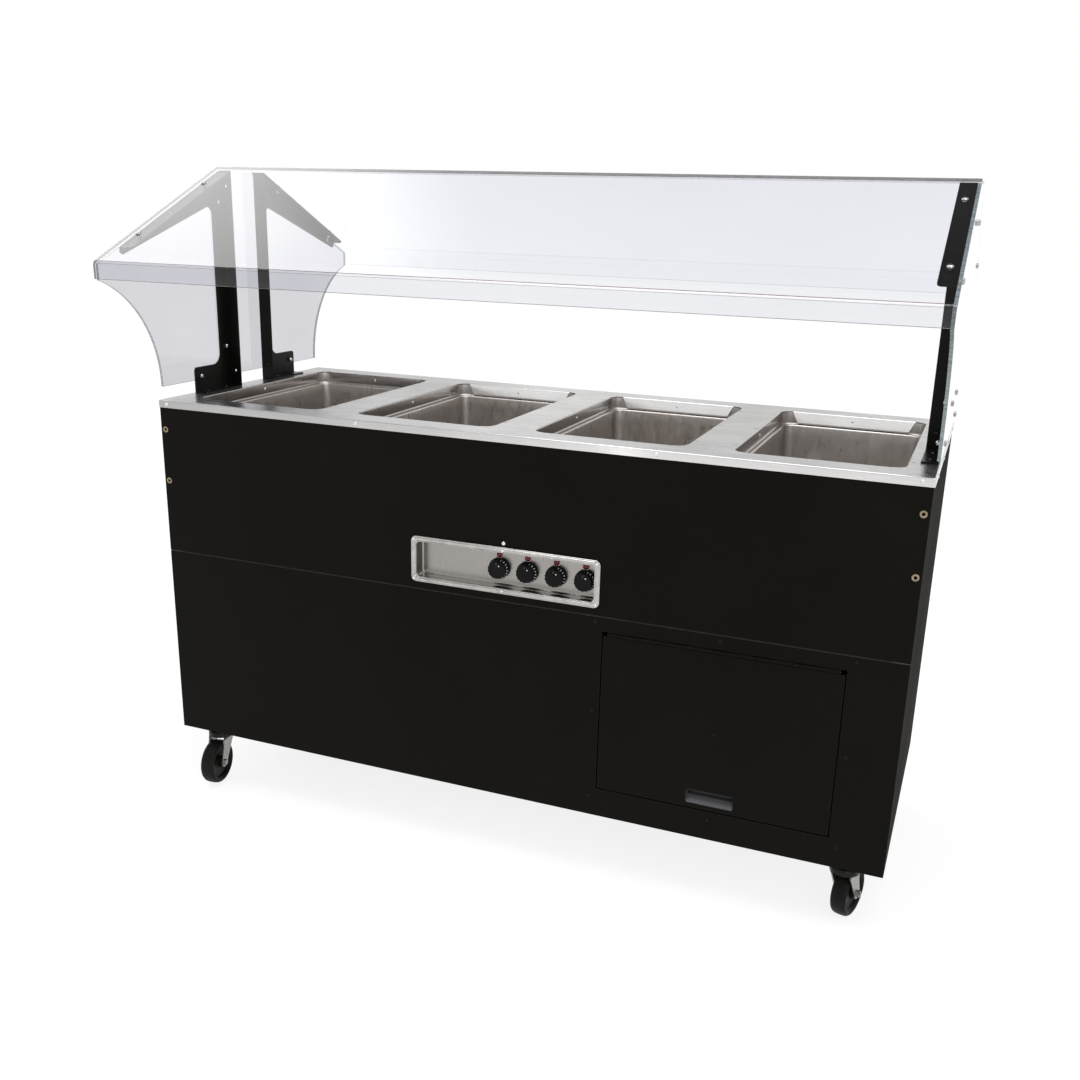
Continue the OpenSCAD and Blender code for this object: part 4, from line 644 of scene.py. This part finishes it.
def build_counter():
    """Bent sheet: rounded rim, flat top with openings and slits, edges turned down into the wells."""
    top, turned, rim, flap, slit = range(5)
    rr, soft, low = 2.4, 0.3, TOP_H - RIM_DROP
    prof = [(TOP_T, UNDER), (TOP_T, low + soft), (TOP_T - soft, low), (soft, low), (0.0, low + soft),
            (0.0, TOP_H - rr)]
    prof += [(rr - rr * math.cos(a), TOP_H - rr + rr * math.sin(a)) for a in quarter(6, 1)]
    prof.append((rr + 0.5, TOP_H))
    rings = [[(x, y, z) for x, y in round_rect(TOP_L / 2 - i, TOP_D / 2 - i, max(3.0 - i * 0.8, 0.8), 6)]
             for i, z in prof]
    parts = [loft(rings, close=False) + (rim,)]
    holes = [opening_loop(well_x(i)) for i in range(WELLS)]
    slits = [loop for i in range(WELLS) for loop in slit_loops(i)]
    for ring, z in ((rings[-1], TOP_H), (rings[0], UNDER)):
        parts.append(fill([[(x, y) for x, y, _ in ring]] + holes + slits, z))
    for k, loop in enumerate(holes + slits):
        wall = loft([[(x, y, z) for x, y in loop] for z in (TOP_H, UNDER)], close=False)
        parts.append(wall + (top if k < WELLS else slit,))
    for loop in slits:
        parts.append(fill([loop], UNDER + 0.2) + (slit,))
    for i in range(WELLS):
        for turn in range(4):
            along, across = (WELL_W, WELL_D) if turn % 2 == 0 else (WELL_D, WELL_W)
            c, s = math.cos(turn * math.pi / 2), math.sin(turn * math.pi / 2)
            leaning = turn == 0 and i > 0
            strip = turned_strip(along / 2 - WELL_R, across / 2, FLAP_LEAN if leaning else 0.0)
            strip = moved(strip, lambda v: (well_x(i) + c * v[0] - s * v[1], s * v[0] + c * v[1], v[2]))
            parts.append(strip + (flap if leaning else turned,))
    verts, faces, mats = merge(parts)
    obj = new_object("counter_sheet", verts, faces, [STEEL, EDGE_STEEL_PAINTED_SHADE, RIM_PAINTED_HIGHLIGHT, FLAP_PAINTED_HIGHLIGHT, SLIT], mats, smooth=32)
    place(obj, "cabinet", "stainless", "countertop")


def build_liner(i):
    """Deep-drawn pan: flange, collar, beaded ledge, tapered walls and a radiused floor."""
    cx = well_x(i)
    lip_r, collar_r, floor_r = 2.2, 3.0, 12.0
    wall_in, wall_top, draft = 9.0, 3.0, 4.0
    wall_drop = PAN_DEPTH - wall_top - floor_r

    def ring(inset, z, r):
        return [(cx + x, y, z) for x, y in round_rect(WELL_W / 2 - inset, WELL_D / 2 - inset, r, 10)]

    # Each row: inset from the opening, height, corner radius
    prof = [(-PAN_FLANGE, UNDER - 0.02, 32.0), (-4.2, UNDER - 0.02, 26.2)]
    prof += [(-COLLAR - lip_r + lip_r * math.sin(a), UNDER - lip_r - 0.02 + lip_r * math.cos(a), 24.0)
             for a in quarter(5)]
    prof += [(-COLLAR, LEDGE_Z + 4.0, 23.8)]
    prof += [(-COLLAR + collar_r - collar_r * math.cos(a), LEDGE_Z + collar_r - collar_r * math.sin(a),
              23.8 - 2.0 * k / 5) for k, a in enumerate(quarter(5))]
    prof += [(3.2, LEDGE_Z, 20.0), (4.4, LEDGE_Z + 0.35, 19.2), (5.6, LEDGE_Z + 0.35, 18.6)]
    prof += [(wall_in - wall_top + wall_top * math.sin(a), LEDGE_Z - wall_top + 3.2 * math.cos(a), 17.5)
             for a in quarter(5, 1)]
    prof += [(wall_in + draft * k / 6, LEDGE_Z - wall_top - wall_drop * k / 6, 17.5 + 1.5 * k / 6)
             for k in range(1, 7)]
    prof += [(wall_in + draft + floor_r - floor_r * math.cos(a), FLOOR_Z + floor_r - floor_r * math.sin(a),
              19.0 - 3.0 * k / 6) for k, a in enumerate(quarter(6, 1), 1)]
    prof += [(26.0, FLOOR_Z, 15.5), (60.0, FLOOR_Z, 12.0)]
    outside = [(-PAN_FLANGE, UNDER - PAN_T, 32.0), (-COLLAR - PAN_T, UNDER - PAN_T, 24.8),
               (-COLLAR - PAN_T, LEDGE_Z + 2.0, 24.8), (-COLLAR + 2.0, LEDGE_Z - PAN_T, 22.8),
               (6.0, LEDGE_Z - PAN_T, 19.0), (8.0, LEDGE_Z - 4.0, 18.5), (12.0, FLOOR_Z + floor_r, 20.0),
               (16.0, FLOOR_Z + 3.0, 18.0), (25.0, FLOOR_Z - PAN_T, 16.5)]
    rings, back = [ring(*row) for row in prof], [ring(*row) for row in outside]
    verts, faces, mats = merge([loft(rings, close=False, cap_end=True), loft(back, close=False, cap_end=True),
                                loft([rings[0], back[0]], close=False)])
    obj = new_object("well_liner_%d" % (i + 1), verts, faces, [PAN], mats, smooth=40)
    place(obj, "cabinet", "well_steel", "well_pan_%d" % (i + 1))


def tray_ring(out, z, r):
    """A ring around the recess, moved outwards, z towards the front."""
    return [(x, y, z) for x, y in round_rect(DISH_W / 2 + out, DISH_H / 2 + out, r)]


def build_bezel():
    """Rolled frame: two beads with a groove between them, mitred look from the tight corners."""
    # Each row: distance outwards from the recess, height
    prof = [(0.0, -1.0), (0.0, 2.2), (0.35, 2.9), (1.1, 3.3), (1.9, 3.0), (2.3, 2.55), (2.8, 2.55),
            (3.2, 3.1), (3.8, 3.75), (4.6, 4.0), (7.2, 4.0), (8.0, 3.75), (8.6, 3.1), (9.0, 2.6),
            (9.4, 2.6), (9.9, 2.9), (10.6, 2.75), (11.3, 2.1), (11.8, 1.2), (BEZEL_W, 0.3),
            (BEZEL_W, 0.0), (11.4, 0.0)]
    rings = [tray_ring(u, h, DISH_R + u * (BEZEL_W - DISH_R) / BEZEL_W) for u, h in prof]
    verts, faces = moved(loft(rings, close=False), front(DISH_X, -BODY_Y - DISH_T, CONTROL_Z))
    obj = new_object("control_frame", verts, faces, [FRAME_STEEL], smooth=42)
    place(obj, "cabinet", "stainless", "control_bezel")


def tray_painted_light_index(face, verts):
    """Material of a tray face: 1 on the lower wall (painted reflection), 2 on the end walls (painted dark
    reflection), 0 elsewhere.
    """
    c = sum((Vector(verts[k]) for k in face), Vector()) / len(face)
    if len(face) != 4 or not -DISH_DEPTH + 2.0 < c.z < -0.2:
        return 0
    if c.y < -DISH_H / 2 + 3.0 and abs(c.x) < DISH_W / 2 - 2.0:
        return 1
    return 2 if abs(c.x) > DISH_W / 2 - 2.5 else 0


def build_tray():
    """Pressed tray behind the frame, with rounded walls and floor."""
    depth, fr = DISH_DEPTH, DISH_FLOOR_R
    prof = [(DISH_FLANGE, DISH_T), (1.0, DISH_T), (0.3, 0.7), (0.0, 0.0), (0.0, -depth + fr)]
    prof += [(-fr + fr * math.cos(a), -depth + fr - fr * math.sin(a)) for a in quarter(5, 1)]
    prof += [(-fr - 0.6, -depth)]
    rings = [tray_ring(u, z, max(DISH_R + u, 3.5)) for u, z in prof]
    back = [tray_ring(u, z, DISH_R + u)
            for u, z in ((DISH_FLANGE, 0.0), (DISH_T, 0.0), (DISH_T, -depth + 3.0), (-3.0, -depth - DISH_T))]
    verts, faces, _ = merge([loft(rings, close=False, cap_end=True), loft(back, close=False, cap_end=True),
                             loft([rings[0], back[0]], close=False)])
    mats = [tray_painted_light_index(face, verts) for face in faces]
    to_front = front(DISH_X, -BODY_Y, CONTROL_Z)
    obj = new_object("control_tray", [to_front(v) for v in verts], faces, [DISH, DISH_LOW_PAINTED_REFLECTION, DISH_END_PAINTED_DARK_REFLECTION],
                     mats, smooth=40)
    place(obj, "cabinet", "stainless", "control_dish")


def text_mesh(body, size):
    """Outline of a short number as a thin mesh centred on the origin."""
    curve = bpy.data.curves.new("figure", "FONT")
    curve.body = body
    curve.size = size
    curve.align_x = "CENTER"
    curve.align_y = "CENTER"
    curve.resolution_u = 3
    curve.offset = size * 0.012
    tmp = bpy.data.objects.new("figure", curve)
    scene.collection.objects.link(tmp)
    bpy.context.view_layer.update()
    mesh = bpy.data.meshes.new_from_object(tmp.evaluated_get(bpy.context.evaluated_depsgraph_get()))
    verts = [tuple(v.co) for v in mesh.vertices]
    faces = [tuple(p.vertices) for p in mesh.polygons]
    bpy.data.objects.remove(tmp)
    bpy.data.curves.remove(curve)
    bpy.data.meshes.remove(mesh)
    return verts, faces


# The knob's sloped skirt, where the figures stand: lower radius and height, fall and rise
SKIRT_R, SKIRT_Z, SKIRT_IN, SKIRT_RUN, SKIRT_RISE = 21.0, 7.5, 2.5, 3.0, 4.75
FIGURE_Z, FIGURE_OFF, FIGURE_SIZE = 9.9, 0.12, 5.2
FIRST_FIGURE, FIGURE_STEP, FIGURES = 20, 18, 9
FLUTES, GRIP_R, FLUTE_DEPTH, FLUTE_SHARE = 14, 18.5, 1.1, 0.62


def on_skirt(angle):
    """Frame of a place on the skirt: position, right and up directions."""
    a = math.radians(angle)
    out, right = Vector((math.sin(a), math.cos(a), 0.0)), Vector((math.cos(a), -math.sin(a), 0.0))
    up = Vector((SKIRT_RUN * out.x, SKIRT_RUN * out.y, -SKIRT_RISE)).normalized()
    normal = Vector((SKIRT_RISE * out.x, SKIRT_RISE * out.y, SKIRT_RUN)).normalized()
    t = (FIGURE_Z - SKIRT_Z) / SKIRT_RISE
    pos = out * (SKIRT_R - SKIRT_IN * t) + Vector((0, 0, FIGURE_Z)) + normal * FIGURE_OFF
    return pos, right, up


def flute(a):
    """Depth of the grip's hollows at an angle."""
    f = abs(((a * FLUTES / (2 * math.pi)) % 1.0) - 0.5) / 0.5
    return FLUTE_DEPTH * math.sqrt(max(0.0, 1.0 - (f / FLUTE_SHARE) ** 2)) if f < FLUTE_SHARE else 0.0


def build_knob(i):
    to_front = front(KNOB_X0 + i * KNOB_PITCH, TRAY_Y, KNOB_Z)
    body = "knob_body_%d" % (i + 1)
    fr = GRIP_R
    # Each row: radius, height, share of the flutes' depth
    prof = [(9.0, 4.6, 0), (20.3, 4.6, 0), (21.1, 4.9, 0), (21.5, 5.6, 0), (21.5, 6.8, 0), (21.2, 7.4, 0),
            (20.9, 7.7, 0), (19.9, 9.6, 0.0), (18.9, 11.6, 0.25), (18.6, 12.4, 0.8), (fr, 13.2, 1.0),
            (fr, 18.2, 1.0), (fr - 0.25, 19.0, 0.9), (fr - 0.9, 19.7, 0.6), (fr - 1.7, 20.0, 0.15),
            (fr - 2.3, 20.0, 0.0), (fr - 2.9, 19.75, 0.0), (fr - 4.2, 19.6, 0.0), (3.0, 19.5, 0.0),
            (0.4, 19.5, 0.0)]
    shaft = lathe([(3.0, -11.0), (3.0, 4.7)], 32)
    back = lathe([(9.0, 4.6), (9.0, 8.0), (2.9, 8.0)], 32)
    verts, faces, mats = merge([
        loft(lathe(prof, FLUTES * 14, flute), close=False, cap_end=True),
        loft(shaft, close=False, cap_start=True, cap_end=True) + (1,),
        loft(back, close=False)])
    obj = new_object("dial_%d" % (i + 1), [to_front(v) for v in verts], faces, [KNOB, ZINC], mats, smooth=35)
    place(obj, body, "knob_black", "knob_%d" % (i + 1))

    marks = []
    for k in range(FIGURES):
        pos, right, up = on_skirt(FIRST_FIGURE + FIGURE_STEP * k)
        verts, faces = text_mesh(str(k + 1), FIGURE_SIZE)
        marks.append(([tuple(pos + right * v[0] + up * v[1]) for v in verts], faces))
    dot = loft(lathe([(0.01, 0.02), (1.0, 0.12), (1.25, 0.0)], 20), close=False)
    marks.append(moved(dot, lambda v: (v[0] + 5.6, v[1] + 8.8, v[2] + 19.62)))
    bar = [[(x, y, z) for x, y in round_rect(hw, hd, 0.5, 4)]
           for hw, hd, z in ((0.55, 2.4, 19.72), (0.6, 2.45, 19.4))]
    marks.append(moved(loft(bar, close=False, cap_start=True), lambda v: (v[0], v[1] + 12.6, v[2])) + (1,))
    verts, faces, mats = merge(marks)
    obj = new_object("dial_marks_%d" % (i + 1), [to_front(v) for v in verts], faces, [MARK, POINTER], mats)
    place(obj, body, "lamp_white")


# the first bend steps take the painted shade tint
CREASE_STEPS, PAINTED_SHADE_STEPS = 14, 3


def prism(name, outline, x0, x1, mats, sides, end, node):
    """Clear piece: an outline in (y, z) drawn out along X, with a material for each side."""
    n = len(outline)
    verts = [(x, y, z) for x in (x0, x1) for y, z in outline]
    faces = [(k, (k + 1) % n, n + (k + 1) % n, n + k) for k in range(n)]
    indices = list(sides)
    for t in tessellate_polygon([[Vector((y, z, 0.0)) for y, z in outline]]):
        faces += [tuple(t), tuple(n + v for v in t)]
        indices += [end, end]
    place(new_object(name, verts, faces, mats, indices, smooth=25), "cabinet", "clear_acrylic", node)


def build_slope(sign, name, node):
    """Bent sheet of one side: slope, crease, a lip hanging down, and a darker tint where the bend begins, a
    painted shade.
    """
    face, edge, bend, lip = range(4)
    t, soft = GLASS_T, 0.6
    sn, cs = math.sin(math.radians(SLOPE)), math.cos(math.radians(SLOPE))
    low = TOP_H + LIP_Z
    crease = (CREASE_Y - CREASE_R, RIDGE_Z - (CREASE_R + (CREASE_Y - CREASE_R - RIDGE_Y) * sn) / cs)
    outline = [(RIDGE_Y, RIDGE_Z)] + arc(crease, CREASE_R, 90 - SLOPE, 0, CREASE_STEPS)
    outline += [(CREASE_Y, low + soft), (CREASE_Y - soft, low), (CREASE_Y - t + soft, low),
                (CREASE_Y - t, low + soft)]
    outline += arc(crease, CREASE_R - t, 0, 90 - SLOPE, CREASE_STEPS)
    outline.append((RIDGE_Y - t * sn, RIDGE_Z - t * cs))
    if sign < 0:
        outline = [(-y, z) for y, z in outline]
        hanging, mats = lip, [CLEAR, EDGE, CREASE_PAINTED_SHADE, CLEAR_LIP_PAINTED_SHADE]
    else:
        hanging, mats = face, [CLEAR, EDGE_REAR, CREASE_REAR_PAINTED_SHADE, CLEAR_LIP_PAINTED_SHADE]
    turn = [bend] * PAINTED_SHADE_STEPS + [hanging] * (CREASE_STEPS - PAINTED_SHADE_STEPS)
    sides = [face] + turn + [hanging] + [edge] * 3 + [hanging] + turn[::-1] + [face, edge]
    prism(name, outline, -GLASS_X, GLASS_X, mats, sides, edge, node)


def build_end(side, name, node):
    """End panel under the slopes: cut outline with two curved sides and a polished edge."""
    edge_y, drop = CREASE_Y - GLASS_T - END_GAP, GLASS_T + END_GAP
    bottom = TOP_H + END_BOTTOM
    centre = (END_WAIST + END_R, bottom + 4.0)
    slope = math.radians(SLOPE)

    def below_slope(y):
        return y, RIDGE_Z - math.tan(slope) * (y - RIDGE_Y) - drop / math.cos(slope)

    last = math.degrees(math.acos((edge_y - centre[0]) / END_R))
    half = [(END_WAIST, bottom)] + arc(centre, END_R, 180, last, 40)
    half += [(edge_y, TOP_H + LIP_Z), below_slope(edge_y), below_slope(RIDGE_Y)]
    outline = half + [(-y, z) for y, z in reversed(half)]
    prism(name, outline, side * (GLASS_X - GLASS_T), side * GLASS_X, [CLEAR_END, EDGE_GREEN],
          [1] * len(outline), 0, node)


def build_wheel(k):
    """Rubber tyre on a moulded wheel: rounded tread, dished sides with a rim bead, wide hub."""
    place_name, side_x, side_y, heading = CASTERS[k]
    a = math.radians(heading)
    cx, cy = side_x * CASTER_X + TRAIL * math.cos(a), side_y * CASTER_Y + TRAIL * math.sin(a)
    # Each row: radius, distance from the wheel's middle
    half = [(38.0, 12.6), (39.5, 14.2), (41.5, 15.4), (44.0, 15.9), (46.6, 14.6), (48.8, 11.6),
            (49.7, 7.5), (WHEEL_R, 3.0)]
    tyre = half + [(r, -h) for r, h in reversed(half)] + [(37.2, -11.0), (37.2, 11.0)]
    half = [(4.06, 17.2), (11.6, 17.2), (12.8, 16.6), (13.0, 15.6), (13.2, 9.6), (14.8, 8.3),
            (18.0, 7.6), (31.0, 7.6), (34.0, 8.6), (35.2, 11.2), (36.6, 12.9), (38.0, 12.8)]
    core = half + [(r, -h) for r, h in reversed(half)]

    def turn(v):
        x, y, z = v[0], -v[2], v[1]
        return (cx + x * math.cos(a) - y * math.sin(a), cy + x * math.sin(a) + y * math.cos(a), WHEEL_R + z)

    verts, faces, mats = merge([loft(lathe(tyre, 96)), loft(lathe(core, 72)) + (1,)])
    obj = new_object("wheel_%d" % (k + 1), [turn(v) for v in verts], faces, [TYRE, HUB], mats, smooth=40)
    place(obj, "caster_wheel_" + place_name, "tyre", "caster_wheel_%d" % (k + 1))


build_counter()
for i in range(WELLS):
    build_liner(i)
    build_knob(i)
    build_wheel(i)
build_bezel()
build_tray()
build_slope(-1, "front_slope_sheet", "front_glass")
build_slope(1, "rear_slope_sheet", "rear_glass")
build_end(-1, "left_end_sheet", "left_end_glass")
build_end(1, "right_end_sheet", "right_end_glass")


# ---------------------------------------------------------------- floor and light
FLOOR_HALF, FLOOR_CELLS, FLOOR_Z0 = 20, 12, -0.0004
# World brightness, 1 all round plus soft lobes: direction, where it begins and is full, gain
SKY = 1.0
LOBES = (((0, 0, 1), 0.15, 0.95, -0.35),               # dims the top
         ((-0.72, 0.36, 0.60), 0.925, 0.988, 1.7),     # seen in the slope over the left brackets
         ((0, 0.6, 0.8), 0.80, 0.99, -0.60),           # keeps the right flange black
         ((0, -1, 0.1), 0.3, 1.0, -0.12))              # dims the front


def stage_material():
    m = Mat("studio_floor", Roughness=0.9, Specular_IOR_Level=0.05, Emission_Strength=0.84)
    m.bsdf.inputs["Emission Color"].default_value = (1, 1, 1, 1)
    m.to(m.shades(m.noise(1.5, detail=3.0), (0.20, 0.20, 0.20), (0.23, 0.23, 0.23)), "Base Color")
    return m.mat


def make_floor():
    n = FLOOR_CELLS
    line = [-FLOOR_HALF + 2 * FLOOR_HALF * k / n for k in range(n + 1)]
    verts = [(x, y, FLOOR_Z0) for x in line for y in line]
    corners = [i * (n + 1) + j for i in range(n) for j in range(n)]
    faces = [(a, a + n + 1, a + n + 2, a + 1) for a in corners]
    new_object("studio_floor", verts, faces, [stage_material()], scale=1.0)


def make_world():
    """Bright white studio: pale all round, brighter high on the left behind the table."""
    world = bpy.data.worlds.new("studio")
    scene.world = world
    world.use_nodes = True
    shaders, links = world.node_tree.nodes, world.node_tree.links
    background = shaders["Background"]
    coord = shaders.new("ShaderNodeTexCoord")

    def lobe(direction, low, high, gain):
        dot = shaders.new("ShaderNodeVectorMath")
        dot.operation = "DOT_PRODUCT"
        dot.inputs[1].default_value = Vector(direction).normalized()
        links.new(coord.outputs["Generated"], dot.inputs[0])
        span = shaders.new("ShaderNodeMapRange")
        span.interpolation_type = "SMOOTHSTEP"
        for socket, value in (("From Min", low), ("From Max", high), ("To Min", 0.0), ("To Max", gain)):
            span.inputs[socket].default_value = value
        links.new(dot.outputs["Value"], span.inputs["Value"])
        return span.outputs["Result"]

    total = None
    for row in LOBES:
        add = shaders.new("ShaderNodeMath")
        add.operation = "ADD"
        links.new(lobe(*row), add.inputs[0])
        if total is None:
            add.inputs[1].default_value = SKY
        else:
            links.new(total, add.inputs[1])
        total = add.outputs["Value"]
    links.new(total, background.inputs["Strength"])
    background.inputs["Color"].default_value = (1.0, 1.0, 1.0, 1.0)


def area_light(name, at, target, size, power):
    data = bpy.data.lights.new(name, "AREA")
    data.shape = "RECTANGLE"
    data.size, data.size_y = size
    data.energy = power
    light = bpy.data.objects.new(name, data)
    light.location = at
    light.rotation_euler = (Vector(target) - Vector(at)).to_track_quat("-Z", "Y").to_euler()
    scene.collection.objects.link(light)


make_floor()
make_world()
area_light("overhead", (0.2, -0.6, 4.2), (0.0, 0.0, 0.8), (3.6, 2.4), 90)
area_light("front_fill", (2.6, -3.4, 2.6), (0.2, 0.0, 0.8), (1.6, 1.6), 26)

scene.view_settings.view_transform = "Standard"
scene.view_settings.look = "None"
